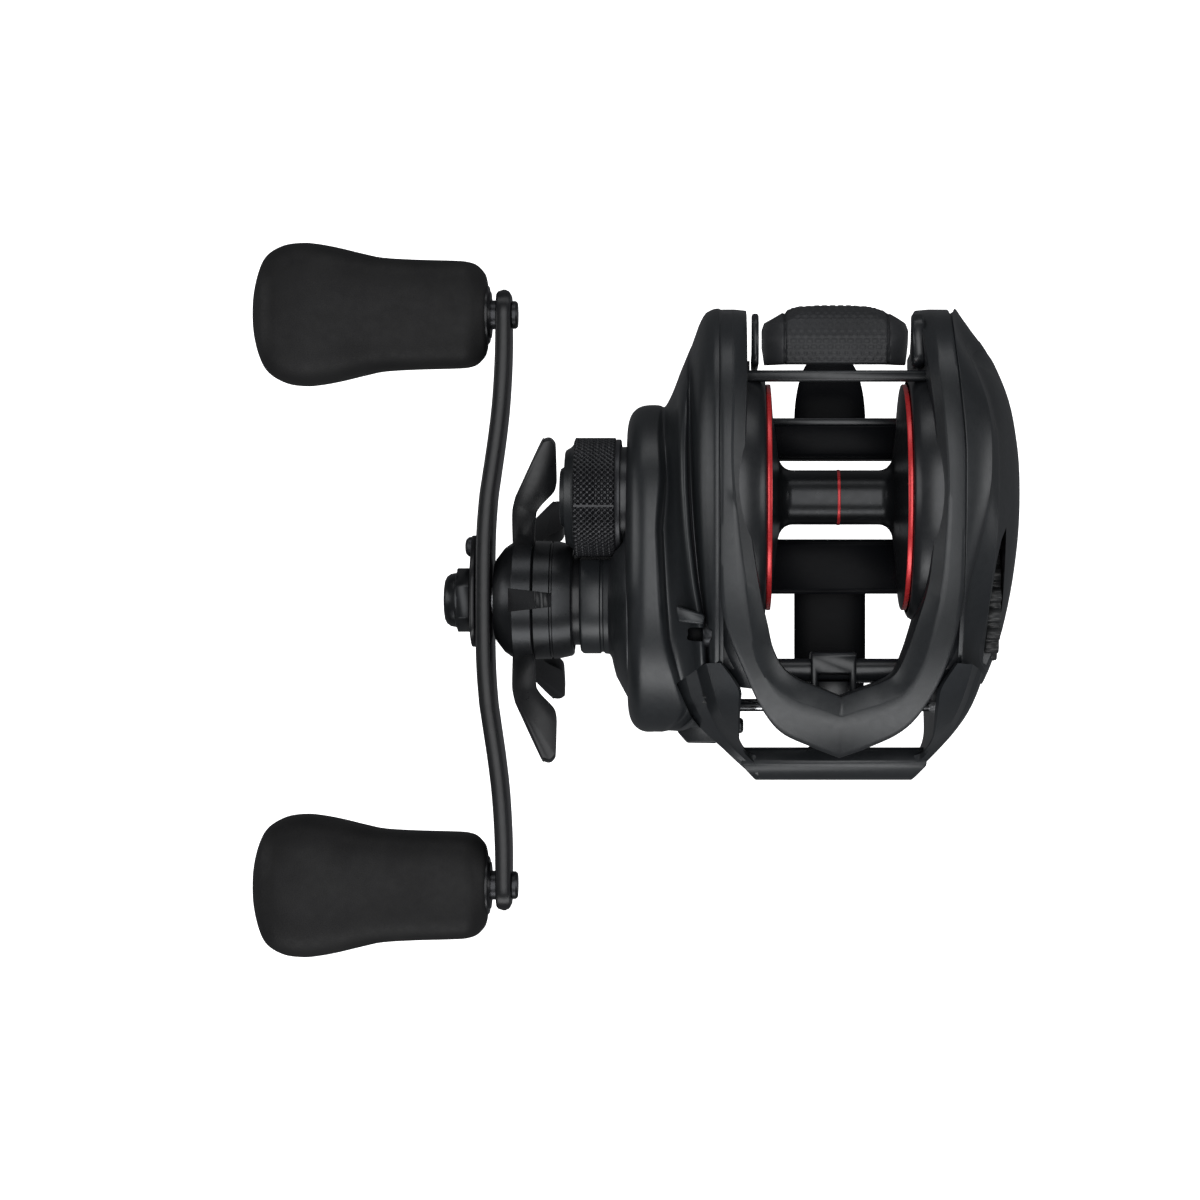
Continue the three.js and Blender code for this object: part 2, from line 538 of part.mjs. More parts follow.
// ---------- handle ----------
function starDrag() {
  const hub = turned([
    [-52.6, 2.65], [-52.6, 7.4], [-51.6, 8.6], [-50.3, 9.3], [-47, 9.3], [-46.8, 9.55], [-43, 9.2],
    [-40.9, 8.7], [-40.9, 7.6], [-45.6, 7.6], [-45.6, 2.65], [-52.6, 2.65],
  ], 24);
  // one arm pointing along +Y: seen from above, then from the end
  const face = [
    [-50.4, 7.5], [-50.4, 14.6], [-50.2, 16], [-45.9, 25.2], [-44.9, 26], [-44, 26], [-43.6, 25.2],
    [-43.5, 19.4], [-43.9, 17.8], [-46.2, 15.4], [-46.9, 13.4], [-47.2, 7.5],
  ];
  const wedge = [[-51, -1.75], [-43, -1.05], [-43, 1.05], [-51, 1.75]];
  const arm = alongZ(face, -4, 4).intersect(alongY(wedge, 0, STAR_R + 1));
  const upmost = 90; // the first arm stands straight up
  const arms = Array.from({ length: STAR_ARMS }, (_, i) =>
    arm.rotate([upmost + (360 * i) / STAR_ARMS, 0, 0]));
  return cut(union(hub, ...arms), rod(-60, -30, 2.65, 16), starNutBody(GAP));
}
const starNutBody = (grow) => alongX(circle(0, 0, 5.2 + grow, 6), -49 - grow, -42 + grow);

function handleArm() {
  const wide = ARM_WIDTH / 2, end = ARM_REACH;
  const half = [
    [end + 3.9, 0], [end + 3.4, 2], [end + 2, 3.4], [end, ARM_END_R], [end - 12, 4.3], [18, 5],
    [8, wide], [0, wide + 0.3],
  ];
  const top = [...half, ...half.slice(0, -1).reverse().map(([y, z]) => [-y, z])];
  const outline = [...top, ...top.slice(1, -1).reverse().map(([y, z]) => [y, -z])];
  const bend = [ // Y, outer X, inner X
    [50, -53.1, -50.8], [34.6, -53.4, -51], [25.2, -54.3, -51.9], [19, -55.3, -52.9],
    [15.6, -55.7, -53.3], [9.4, -56.1, -53.7], [0, -56.2, -53.8],
  ];
  const mirrored = bend.slice(0, -1).reverse().map(([y, a, b]) => [-y, a, b]);
  const all = [...bend, ...mirrored];
  const plan = [...all.map(([y, a]) => [a, y]), ...all.map(([y, , b]) => [b, y]).reverse()];
  return cut(alongX(outline, -60, -48).intersect(alongZ(plan, -10, 10)),
    rod(-60, -40, 2.6, 24),
    ...[-1, 1].map((s) => moved(rod(-60, -40, 1.7, 18), 0, s * end, 0)));
}

// About its own spindle: the hard rim by the arm, then the paddle out to the domed end.
function knob() {
  const outline = [
    [-54.7, 5.8], [-56.4, 7.9], [-58.6, 8.4], [-66, 8.6], [-71, 8.9], [-76, 10], [-80, 10.9],
    [-82.8, KNOB_R], [-86, 10.8], [-88.8, 9.3], [-90.6, 6.4], [-91.6, 0],
  ];
  const body = turned([[-54.7, 0], ...outline].reverse(), 24).scale([1, 1, KNOB_FLAT]);
  return body.subtract(rod(-89.2, -50, 3, 16));
}
const knobBushing = () => turned([
  [-88.2, 1.65], [-88.2, 2.8], [-54.6, 2.8], [-54.5, 3.7], [-54.05, 3.7], [-54.05, 1.65], [-88.2, 1.65],
], 16);
const knobSpindle = () => turned([
  [-88.6, 0], [-88.6, 1.3], [-88.4, 1.45], [-50.6, 1.45], [-50.6, 2.2], [-50, 1.9], [-49.9, 0],
], 16);

// ---------- build ----------
const place = (mesh, x, y, z) => {
  mesh.position.set(x, y, z);
  return mesh;
};

reel.add(
  piece("frame", cut(frame(), ...FOOT_SCREWS.map(footScrewHole)), BODY()),
  piece("top_cowl", topCowl(), BODY()),
  piece("gear_cover", gearCover(), BODY()),
  piece("reel_foot_front", footHalf(-FAR, FOOT_GAP.front), BLACK()),
  piece("reel_foot_rear", footHalf(FOOT_GAP.rear, FAR), BLACK()),
  piece("gear_plate", gearPlate(), STEEL()),
  piece("palm_cover", palmCover(), BODY()),
  piece("thumb_bar", thumbBar(), BODY()),
  piece("clutch_cam", clutchCam(), NYLON()),
  piece("yoke", yoke(), BRASS()),
);
FOOT_SCREWS.forEach((y, i) => {
  reel.add(piece(["foot_screw_front", "foot_screw_rear"][i], footScrew(y), STEEL()));
});
COVER_SCREWS.forEach(([y, z, x], i) => {
  const screw = union(rod(-1.3, -0.1, 2.1, 20), rod(-0.2, 2.4, 1, 14));
  reel.add(place(piece(["cover_screw_rear", "cover_screw_front"][i], screw, STEEL()), x, y, z));
});
[["upper", POST_UPPER], ["lower", POST_LOWER]].forEach(([which, { y, z }]) => {
  const post = rod(SEAT_X, PLATE.x0 - GAP, POST_R, 16);
  const coil = spring(SEAT_X + 0.3, YOKE.x0 - 0.5, 1.6, 0.5, 5);
  reel.add(
    place(piece("yoke_post_" + which, post, STEEL()), 0, y, z),
    place(piece("yoke_spring_" + which, coil, STEEL()), 0, y, z),
  );
});

// drive shaft line, about its own axis
const toSpool = Math.atan2(SPOOL.z - SHAFT.z, SPOOL.y - SHAFT.y);
const toWorm = Math.atan2(WORM.z - SHAFT.z, WORM.y - SHAFT.y);
function driveGear() {
  const outline = gearOutline(DRIVE_TEETH, DRIVE_MODULE, toSpool, { addendum: 0.75, fill: 0.8 });
  const rim = alongX(outline, -26.6, -24.2);
  return cut(union(rim, ring(-28.4, -26.5, 12.8, 11.6, 28)),
    rod(-30, -25.3, 11.6, 28), rod(-40, 0, 2.65, 16));
}
const windDriveGear = () =>
  cut(alongX(gearOutline(WIND_DRIVE_TEETH, WIND_MODULE, toWorm), ...WIND_FACE), rod(-40, 0, 2.55, 16));
function nutRetainer() {
  const outline = [
    [-7.4, -2.4], [-5.6, -4], [0, -5.2], [4, -4.2], [7.6, -2], [9.7, -1.6], [10.4, 0],
    [9.7, 1.6], [7.6, 2], [4, 4.2], [0, 5.2], [-5.6, 4], [-7.4, 2.4],
  ];
  const hexHole = alongX(circle(0, 0, 3.2, 6), -60, -50);
  const screwHole = moved(rod(-60, -50, 1, 14), 0, RETAINER_SCREW_Y, 0);
  return cut(alongX(outline, -57.2, -56.4), hexHole, screwHole);
}
function handleNut() {
  const hex = alongX(circle(0, 0, 5.1, 6), -59, -57.4);
  const dome = turned([
    [-61.3, 2.45], [-61.3, 3.4], [-60.9, 4.1], [-58.9, 4.6], [-58.9, 2.45], [-61.3, 2.45],
  ], 20);
  return cut(union(hex, dome), rod(-62, -50, 2.45, 16));
}
const retainerScrew = () => union(rod(-58.2, -57.4, 1.6, 16), rod(-57.5, -56.5, 0.8, 12));
shaftLine.add(
  piece("drive_shaft", turned([
    [-61.1, 0], [-61.1, 1.9], [-60.7, 2.35], [-22.6, 2.35], [-22.6, 7], [-21.2, 7], [-21.2, 2.35],
    [-17.6, 2.35], [-17.6, 1.7], [-15.6, 1.7], [-15.6, 0],
  ].reverse(), 20), STEEL()),
  piece("shaft_bearing", bearing(PLATE.x0 + 0.1, PLATE.x1 - 0.1, SHAFT_BEARING_R, 1.9), STEEL()),
  piece("levelwind_drive_gear", windDriveGear(), NYLON()),
  piece("drag_washer_inner", ring(-23.6, -22.8, 10.5, 2.65), CARBON()),
  piece("drive_gear", driveGear(), BRASS()),
  piece("drag_washer_outer", ring(-26.2, -25.5, 11.2, 2.65), CARBON()),
  piece("pressure_plate", ring(-27.4, -26.4, 11.2, 2.55), STEEL()),
  piece("drag_spring_washer", turned([
    [-29.4, 2.6], [-27.9, 5.6], [-27.6, 5.4], [-29.1, 2.6], [-29.4, 2.6]], 28), STEEL()),
  piece("roller_sleeve", ring(-40, -29.7, 3.6, 2.55, 28), STEEL()),
  piece("roller_clutch", bearing(-38.6, -31.2, 6.2, 3.8), STEEL()),
  piece("star_nut", cut(starNutBody(0), rod(-60, -30, 2.55, 16)), BRASS()),
  piece("star_drag", starDrag(), BLACK()),
  piece("handle_arm", handleArm(), BLACK()),
  piece("nut_retainer", nutRetainer(), BLACK()),
  piece("handle_nut", handleNut(), BLACK()),
  place(piece("retainer_screw", retainerScrew(), STEEL()), 0, RETAINER_SCREW_Y, 0),
);
[["front", -1], ["rear", 1]].forEach(([which, s]) => {
  const y = s * ARM_REACH;
  shaftLine.add(
    place(piece("knob_spindle_" + which, knobSpindle(), STEEL()), 0, y, 0),
    place(piece("knob_bushing_" + which, knobBushing(), BLACK()), 0, y, 0),
    place(piece("knob_" + which, knob(), RUBBER()), 0, y, 0),
  );
});

// spool line, about its own axis
spoolLine.add(
  piece("spool", spool(), RED()),
  piece("spool_shaft", spoolShaft(), STEEL()),
  piece("spool_pin", upright(rod(-2.4, 2.4, 0.4, 12), 0).translate([-13.7, 0, 0]), STEEL()),
  piece("pinion", pinion(), BRASS()),
  piece("pinion_bearing", bearing(-32, -29, 4.6, 1.95), STEEL()),
  piece("spool_bearing", bearing(-37.6, -35.4, 4.15, 1.2), STEEL()),
  piece("tension_cap", turned([
    [-42.9, 0], [-42.9, 4], [-42.2, 4.6], [-42, 5], [-42, 7.2], [-41.4, 7.7], [-40.7, 8],
    [-40.65, CAP_R - 0.2], [-40.4, CAP_R], [-34.2, CAP_R], [-34, CAP_R - 0.3],
    [-33.1, CAP_R - 0.35], [-33.1, CAP_BOSS_R + GAP], [-39.4, CAP_BOSS_R + GAP], [-39.4, 0],
  ], 28), BLACK()),
  piece("tension_shim", rod(-39.2, -38.4, 2.6, 20), BRASS()),
  piece("palm_bearing", bearing(12.6, 15.4, 4.4, 1.3), STEEL()),
  piece("magnet_ring", ring(12.25, 13.15, 12.8, 8, 36), STEEL()),
  piece("brake_housing", turned([
    [12.3, 4.6], [12.3, 5.9], [14, 6.2], [14, 16.2], [13, 16.6], [13, 17.3], [18, 17.3], [18, 16.2],
    [15.6, 15.2], [15.6, 4.6], [12.3, 4.6],
  ], 24), BLACK()),
);
const dialTeeth = Array.from({ length: DIAL_TEETH }, (_, i) =>
  box(22.9, 25.2, DIAL_R - 1, DIAL_R, -0.95, 0.95).rotate([(360 * i) / DIAL_TEETH, 0, 0]));
reel.add(place(
  piece("brake_dial", union(ring(22.9, 25.2, DIAL_R - 0.5, 2.4, 18), ...dialTeeth), BLACK()),
  0, DIAL.y, DIAL.z));

// level wind, about the worm's axis
const GUARD = { r: 1.9, bore: 1.45, half: WALL_IN - GAP };
const CARRIAGE = { x0: -4, x1: 3.1 };
function wormGear() {
  const meshing = toWorm + Math.PI + Math.PI / WIND_TEETH;
  return cut(alongX(gearOutline(WIND_TEETH, WIND_MODULE, meshing), ...WIND_FACE), rod(-40, 0, 1.25, 20));
}
wormLine.add(
  piece("levelwind_guard", cut(ring(-GUARD.half, GUARD.half, GUARD.r, GUARD.bore, 24),
    box(-9.6, 9.6, -0.8, 0.8, -3, 0)), BLACK()),
  piece("worm_shaft", rod(-22, 13.6, 1.15, 20), STEEL()),
  piece("worm_gear", wormGear(), NYLON()),
);
const windSide = [ // carriage seen from the side, about the worm's axis
  [2.9, -2.6], [2.9, 2.6], [1.6, 3.2], [-4.4, 3.4], [-4.4, 5.6], [-6.6, 5.6], [-6.9, -3], [-7.6, -5],
  [-7.6, -8.4], [-3.6, -8.4], [-2.6, -5.6], [2.2, -5.6],
];
const EYE_Z = 1.6; // middle of the line eye
wormLine.add(
  piece("line_guide", cut(alongX(windSide, CARRIAGE.x0, CARRIAGE.x1),
    rod(-20, 20, GUARD.r + GAP, 24),
    moved(rod(-20, 20, 1.25, 16), 0, GUIDE_ROD.y - WORM.y, GUIDE_ROD.z - WORM.z),
    box(CARRIAGE.x0 + 1, CARRIAGE.x1 - 1, -9, -3.6, EYE_Z - 2.2, EYE_Z + 2.7),
    box(-1.85, 0.95, -1.4, 1.4, -6.4, 0)), BLACK()),
  piece("pawl", union(upright(rod(-5.4, -2, 1.15, 16), 0), upright(rod(-2.4, -1.25, 0.55, 12), 0))
    .translate([-0.45, 0, 0]), BRASS()),
);
reel.add(place(piece("guide_rod", rod(-15.6, 16.2, 1, 16), STEEL()), 0, GUIDE_ROD.y, GUIDE_ROD.z));

export default reel;
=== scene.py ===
"""Looks of the baitcasting reel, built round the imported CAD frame. Lengths are in mm until a mesh is made."""
import bmesh
import bpy
import math
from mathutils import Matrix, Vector


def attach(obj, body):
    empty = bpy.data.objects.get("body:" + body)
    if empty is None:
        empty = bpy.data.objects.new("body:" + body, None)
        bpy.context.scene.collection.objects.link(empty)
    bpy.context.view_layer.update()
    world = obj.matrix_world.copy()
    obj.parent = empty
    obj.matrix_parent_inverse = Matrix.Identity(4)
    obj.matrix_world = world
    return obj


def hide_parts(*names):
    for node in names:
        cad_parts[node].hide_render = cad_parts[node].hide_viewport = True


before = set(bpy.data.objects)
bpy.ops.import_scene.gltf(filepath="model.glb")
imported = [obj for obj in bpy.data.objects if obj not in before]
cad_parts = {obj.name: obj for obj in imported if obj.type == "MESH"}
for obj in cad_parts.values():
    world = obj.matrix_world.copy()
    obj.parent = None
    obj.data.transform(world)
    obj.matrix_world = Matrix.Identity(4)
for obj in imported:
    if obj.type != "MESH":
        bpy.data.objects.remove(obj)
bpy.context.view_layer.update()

MM = 0.001
TAU = 2 * math.pi

# axes of the turning parts: Y, Z
SPOOL = (7, 22.5)
SHAFT = (-9, 17.5)
WORM = (-20, 23.645)
GUIDE_ROD = (-25.6, 17)
DIAL = (-8.6, 20.4)

SEAM_GEAR = -18.05
SEAM_PALM = 18.5
ARM_REACH = 45
STAR_ARMS = 5

# ---- materials


class Graph:
    """One node material, with short ways to add and join nodes."""

    def __init__(self, name):
        self.material = bpy.data.materials.new(name)
        self.material.use_nodes = True
        self.tree = self.material.node_tree
        self.shader = self.tree.nodes["Principled BSDF"]
        self.coords = self.tree.nodes.new("ShaderNodeTexCoord").outputs["Object"]

    def node(self, kind, **values):
        made = self.tree.nodes.new(kind)
        for key, value in values.items():
            if key in made.inputs:
                made.inputs[key].default_value = value
            else:
                setattr(made, key, value)
        return made

    def link(self, source, target):
        self.tree.links.new(source, target)

    def noise(self, scale, detail=3.0, roughness=0.6):
        made = self.node("ShaderNodeTexNoise")
        made.inputs["Scale"].default_value = scale
        made.inputs["Detail"].default_value = detail
        made.inputs["Roughness"].default_value = roughness
        self.link(self.coords, made.inputs["Vector"])
        return made.outputs["Fac"]

    def stretched(self, factors):
        made = self.node("ShaderNodeMapping")
        made.inputs["Scale"].default_value = factors
        self.link(self.coords, made.inputs["Vector"])
        return made.outputs["Vector"]

    def ramp(self, source, low, high, low_at=0.0, high_at=1.0):
        made = self.node("ShaderNodeValToRGB")
        made.color_ramp.elements[0].position = low_at
        made.color_ramp.elements[0].color = (*low, 1)
        made.color_ramp.elements[1].position = high_at
        made.color_ramp.elements[1].color = (*high, 1)
        self.link(source, made.inputs["Fac"])
        return made.outputs["Color"]

    def span(self, source, low, high, low_at=0.25, high_at=0.75):
        made = self.node("ShaderNodeMapRange")
        made.inputs["From Min"].default_value = low_at
        made.inputs["From Max"].default_value = high_at
        made.inputs["To Min"].default_value = low
        made.inputs["To Max"].default_value = high
        self.link(source, made.inputs["Value"])
        return made.outputs["Result"]

    def mix(self, amount, first, second):
        made = self.node("ShaderNodeMix", data_type="RGBA")
        self.link(amount, made.inputs["Factor"])
        self.link(first, made.inputs["A"])
        self.link(second, made.inputs["B"])
        return made.outputs["Result"]

    def bump(self, height, strength, depth_mm, below=None):
        made = self.node("ShaderNodeBump")
        made.inputs["Strength"].default_value = strength
        made.inputs["Distance"].default_value = depth_mm * MM
        self.link(height, made.inputs["Height"])
        if below is not None:
            self.link(below, made.inputs["Normal"])
        return made.outputs["Normal"]

    def set(self, **values):
        for key, value in values.items():
            self.shader.inputs[key.replace("_", " ")].default_value = value


def worn_and_highlit_edges(graph, base, edge_colour, start=0.53, end=0.60):
    """Mixes a lighter tone into convex edges: partly the wear that handling leaves, partly a painted edge
    highlight.
    """
    edges = graph.node("ShaderNodeNewGeometry").outputs["Pointiness"]
    amount = graph.span(edges, 0.0, 0.55, start, end)
    tone = graph.node("ShaderNodeRGB")
    tone.outputs[0].default_value = (*edge_colour, 1)
    return graph.mix(amount, base, tone.outputs[0])


def satin_paint(name, dark, light, rough, flake=0.35, metallic=0.25, gloss=0.6):
    """Satin metallic paint: fine flake, slow tone change, light orange peel."""
    g = Graph(name)
    slow = g.ramp(g.noise(70, 2), dark, light, 0.35, 0.65)
    cells = g.node("ShaderNodeTexVoronoi", Scale=7500.0)
    g.link(g.coords, cells.inputs["Vector"])
    sparkle = g.ramp(cells.outputs["Distance"], [c * 1.75 for c in light], dark, 0.05, 0.5)
    share = g.node("ShaderNodeMix", data_type="RGBA")
    share.inputs["Factor"].default_value = flake
    g.link(slow, share.inputs["A"])
    g.link(sparkle, share.inputs["B"])
    # lighter convex edges: partly wear, partly a painted edge highlight
    colour = worn_and_highlit_edges(g, share.outputs["Result"], [c * 1.6 for c in light])
    g.link(colour, g.shader.inputs["Base Color"])
    g.link(g.span(g.noise(900, 4), rough - 0.04, rough + 0.05), g.shader.inputs["Roughness"])
    grain = g.bump(g.noise(5200, 2), 0.14, 0.012)
    g.link(g.bump(g.noise(1100, 2), 0.10, 0.02, grain), g.shader.inputs["Normal"])
    g.set(Metallic=metallic, Coat_Weight=0.06, Coat_Roughness=0.3, Specular_IOR_Level=gloss)
    return g.material


def moulded(name, dark, light, rough, grain_per_m, depth_mm, gloss=0.35):
    """Moulded plastic with a fine leather-like grain."""
    g = Graph(name)
    g.link(g.ramp(g.noise(120, 3), dark, light, 0.35, 0.65), g.shader.inputs["Base Color"])
    cells = g.node("ShaderNodeTexVoronoi", Scale=grain_per_m)
    g.link(g.coords, cells.inputs["Vector"])
    pits = g.bump(cells.outputs["Distance"], 0.45, depth_mm)
    g.link(g.bump(g.noise(grain_per_m * 0.6, 3), 0.35, depth_mm, pits), g.shader.inputs["Normal"])
    g.link(g.span(g.noise(700, 3), rough - 0.05, rough + 0.06), g.shader.inputs["Roughness"])
    g.set(Specular_IOR_Level=gloss)
    return g.material


def metal(name, dark, light, rough, lines=(1, 1, 1), depth_mm=0.004, metallic=1.0):
    """Machined or drawn metal, with fine lines along the axis where `lines` is small."""
    g = Graph(name)
    streaks = g.node("ShaderNodeTexNoise", Scale=2600.0, Detail=3.0)
    g.link(g.stretched(lines), streaks.inputs["Vector"])
    base = g.ramp(streaks.outputs["Fac"], dark, light, 0.35, 0.65)
    # lighter convex edges: partly wear, partly a painted edge highlight
    g.link(worn_and_highlit_edges(g, base, [min(1, c * 1.25) for c in light]), g.shader.inputs["Base Color"])
    g.link(g.span(streaks.outputs["Fac"], rough - 0.05, rough + 0.06), g.shader.inputs["Roughness"])
    g.link(g.bump(streaks.outputs["Fac"], 0.25, depth_mm), g.shader.inputs["Normal"])
    g.set(Metallic=metallic)
    return g.material


def woven(name, dark, light):
    """Woven carbon drag washer: a plain two-way weave."""
    g = Graph(name)
    across = g.node("ShaderNodeTexWave", Scale=900.0, bands_direction="Y")
    along = g.node("ShaderNodeTexWave", Scale=900.0, bands_direction="Z")
    g.link(g.coords, across.inputs["Vector"])
    g.link(g.coords, along.inputs["Vector"])
    checks = g.node("ShaderNodeMath", operation="MULTIPLY")
    g.link(across.outputs["Fac"], checks.inputs[0])
    g.link(along.outputs["Fac"], checks.inputs[1])
    g.link(g.ramp(checks.outputs[0], dark, light, 0.1, 0.8), g.shader.inputs["Base Color"])
    g.link(g.bump(checks.outputs[0], 0.5, 0.03), g.shader.inputs["Normal"])
    g.set(Roughness=0.6)
    return g.material


PAINT = satin_paint("satin_charcoal", (0.0125, 0.0145, 0.0165), (0.019, 0.0215, 0.0245), 0.36)
# darker copy of the satin charcoal: painted shade for the parts set inside or under the covers and cowl
PAINT_SHADED = satin_paint("charcoal_painted_shade", (0.0095, 0.011, 0.013), (0.014, 0.0155, 0.018), 0.32)
# glossy black for the cross members, foot and port floor, made darker still as painted shade for the recess
# they sit in
BAR = satin_paint("frame_black_and_painted_shade", (0.003, 0.0033, 0.0045), (0.005, 0.0055, 0.007), 0.5, flake=0.1,
                  metallic=0, gloss=0.04)
BLACK = satin_paint("gloss_black", (0.007, 0.0075, 0.0085), (0.012, 0.0125, 0.014), 0.30, flake=0.15,
                    gloss=0.4)
ANODISED = satin_paint("black_anodised", (0.011, 0.012, 0.0135), (0.018, 0.0195, 0.022), 0.30, flake=0.2,
                       metallic=0.6)
KNURL = satin_paint("knurled_black", (0.016, 0.0165, 0.019), (0.030, 0.031, 0.035), 0.34, flake=0.1,
                    metallic=0.5)
KNOB = moulded("knob_grain", (0.009, 0.009, 0.0095), (0.014, 0.014, 0.0145), 0.55, 3400, 0.03, gloss=0.18)
PAD = moulded("pad_grain", (0.018, 0.019, 0.021), (0.026, 0.027, 0.030), 0.5, 5200, 0.012)
PLASTIC = moulded("moulded_black", (0.012, 0.0125, 0.0135), (0.02, 0.021, 0.022), 0.42, 4200, 0.012)
RED = satin_paint("anodised_red", (0.42, 0.018, 0.022), (0.62, 0.035, 0.04), 0.28, flake=0.15, metallic=0.35)
STEEL = metal("machined_steel", (0.42, 0.43, 0.45), (0.58, 0.59, 0.61), 0.3)
ROD_STEEL = metal("polished_rod", (0.55, 0.56, 0.58), (0.72, 0.73, 0.75), 0.14, lines=(0.02, 1, 1))
SPRING = metal("spring_wire", (0.35, 0.36, 0.38), (0.5, 0.51, 0.53), 0.26)
BRASS = metal("cut_brass", (0.45, 0.30, 0.10), (0.62, 0.44, 0.17), 0.3)
BEARING = metal("bearing_steel", (0.5, 0.51, 0.53), (0.66, 0.67, 0.69), 0.2, lines=(1, 0.2, 0.2))
MAGNET = metal("plated_magnet", (0.36, 0.37, 0.39), (0.48, 0.49, 0.51), 0.35)
WASHER = woven("woven_carbon", (0.012, 0.012, 0.012), (0.06, 0.058, 0.055))
SCREW = metal("black_oxide", (0.02, 0.021, 0.023), (0.045, 0.046, 0.05), 0.34, metallic=0.8)

# ---- mesh helpers


def spline(points, steps, closed=False, corners=()):
    """Catmull-Rom curve through points of any dimension, sharp at the listed corner indices."""
    count = len(points)
    out = []
    last = count if closed else count - 1
    for i in range(last):
        p1, p2 = points[i], points[(i + 1) % count]
        p0 = points[(i - 1) % count] if closed or i > 0 else p1
        p3 = points[(i + 2) % count] if closed or i + 2 < count else p2
        if i in corners:
            p0 = p1
        if (i + 1) % count in corners:
            p3 = p2
        for k in range(steps):
            t = k / steps
            out.append([
                0.5 * (2 * b + (c - a) * t + (2 * a - 5 * b + 4 * c - d) * t * t
                       + (3 * b - a - 3 * c + d) * t ** 3)
                for a, b, c, d in zip(p0, p1, p2, p3)])
    if not closed:
        out.append(list(points[-1]))
    return out


def lerp(a, b, t):
    return a + (b - a) * t


def ease(a, b, x):
    """0 at a, 1 at b, smooth between and flat beyond."""
    t = min(1, max(0, (x - a) / (b - a)))
    return t * t * (3 - 2 * t)


def table(rows, x):
    """Value of a piecewise-linear table [(x, value), ...] at x."""
    if x <= rows[0][0]:
        return rows[0][1]
    for (x0, y0), (x1, y1) in zip(rows, rows[1:]):
        if x <= x1:
            return lerp(y0, y1, (x - x0) / (x1 - x0))
    return rows[-1][1]


def grid(rows, wrap_rows=False, wrap_columns=False, cap_start=False, cap_end=False):
    """Mesh over a list of equal-length rows of points."""
    n, m = len(rows), len(rows[0])
    verts = [p for row in rows for p in row]
    faces = []
    for i in range(n if wrap_rows else n - 1):
        for j in range(m if wrap_columns else m - 1):
            a, b = i * m + j, i * m + (j + 1) % m
            c, d = ((i + 1) % n) * m + (j + 1) % m, ((i + 1) % n) * m + j
            faces.append((a, b, c, d))
    if cap_start:
        faces.append(tuple(range(m))[::-1])
    if cap_end:
        faces.append(tuple((n - 1) * m + j for j in range(m)))
    return verts, faces


def turned(profile, axis, segments):
    """Revolves an open [(x, r), ...] profile round an X axis at (y, z)."""
    angles = [TAU * k / segments for k in range(segments)]
    rows = [[(x, axis[0] + r * math.sin(a), axis[1] + r * math.cos(a)) for a in angles] for x, r in profile]
    return grid(rows, wrap_columns=True)


def solid_turned(profile, axis, segments=96):
    """As turned, with both ends closed by flat caps."""
    verts, faces = turned(profile, axis, segments)
    last = (len(profile) - 1) * segments
    faces = faces + [tuple(range(segments))[::-1], tuple(last + k for k in range(segments))]
    return verts, faces


def ring_turned(profile, axis, segments=96):
    """As turned, for a profile that closes on itself, such as a washer's."""
    verts, faces = turned(profile, axis, segments)
    m, n = segments, len(profile)
    faces = faces + [((n - 1) * m + j, (n - 1) * m + (j + 1) % m, (j + 1) % m, j) for j in range(m)]
    return verts, faces


def prism_x(outline, x0, x1):
    """Extrudes a (y, z) outline along X."""
    return grid([[(x0, y, z) for y, z in outline], [(x1, y, z) for y, z in outline]],
                wrap_columns=True, cap_start=True, cap_end=True)


def prism_z(outline, z0, z1):
    """Extrudes an (x, y) outline along Z."""
    return grid([[(x, y, z0) for x, y in outline], [(x, y, z1) for x, y in outline]],
                wrap_columns=True, cap_start=True, cap_end=True)


def circle(cy, cz, r, segments=32, phase=0.0):
    angles = [TAU * k / segments + phase for k in range(segments)]
    return [(cy + r * math.cos(a), cz + r * math.sin(a)) for a in angles]


def hexagon(cy, cz, r, phase=0.0):
    return circle(cy, cz, r, 6, phase)


def round_box(x0, x1, y0, y1, z0, z1):
    """Block to be rounded by a bevel."""
    return prism_z([(x0, y0), (x1, y0), (x1, y1), (x0, y1)], z0, z1)


def mesh_of(name, part):
    """Mesh in metres, with doubled points merged and its normals outwards."""
    verts, faces = part
    mesh = bpy.data.meshes.new(name)
    mesh.from_pydata([(x * MM, y * MM, z * MM) for x, y, z in verts], [], faces)
    bm = bmesh.new()
    bm.from_mesh(mesh)
    bmesh.ops.remove_doubles(bm, verts=bm.verts, dist=1e-7)
    bmesh.ops.recalc_face_normals(bm, faces=bm.faces)
    bm.to_mesh(mesh)
    bm.free()
    return mesh


def make(name, part, material, body, replaces=(), bevel=0.0, segments=3, sharp=32, cutters=()):
    """Turns a part into an object that rides on a body. Bevel widths are in mm, and sharp is in degrees."""
    mesh = mesh_of(name, part)
    obj = bpy.data.objects.new(name, mesh)
    bpy.context.scene.collection.objects.link(obj)
    mesh.materials.append(material)
    for cutter in cutters:
        cut_away(obj, cutter)
    if bevel:
        rounding = obj.modifiers.new("rounding", "BEVEL")
        rounding.width = bevel * MM
        rounding.segments = segments
        rounding.limit_method = "ANGLE"
        rounding.angle_limit = math.radians(sharp)
        rounding.harden_normals = True
        apply_modifiers(obj)
    obj.data.shade_smooth()
    obj.data.set_sharp_from_angle(angle=math.radians(60 if bevel else sharp))
    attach(obj, body)
    if replaces:
        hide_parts(*replaces)
    return obj


def apply_modifiers(obj):
    bpy.context.view_layer.update()
    graph = bpy.context.evaluated_depsgraph_get()
    made = bpy.data.meshes.new_from_object(obj.evaluated_get(graph))
    obj.modifiers.clear()
    old = obj.data
    obj.data = made
    made.name = old.name
    bpy.data.meshes.remove(old)


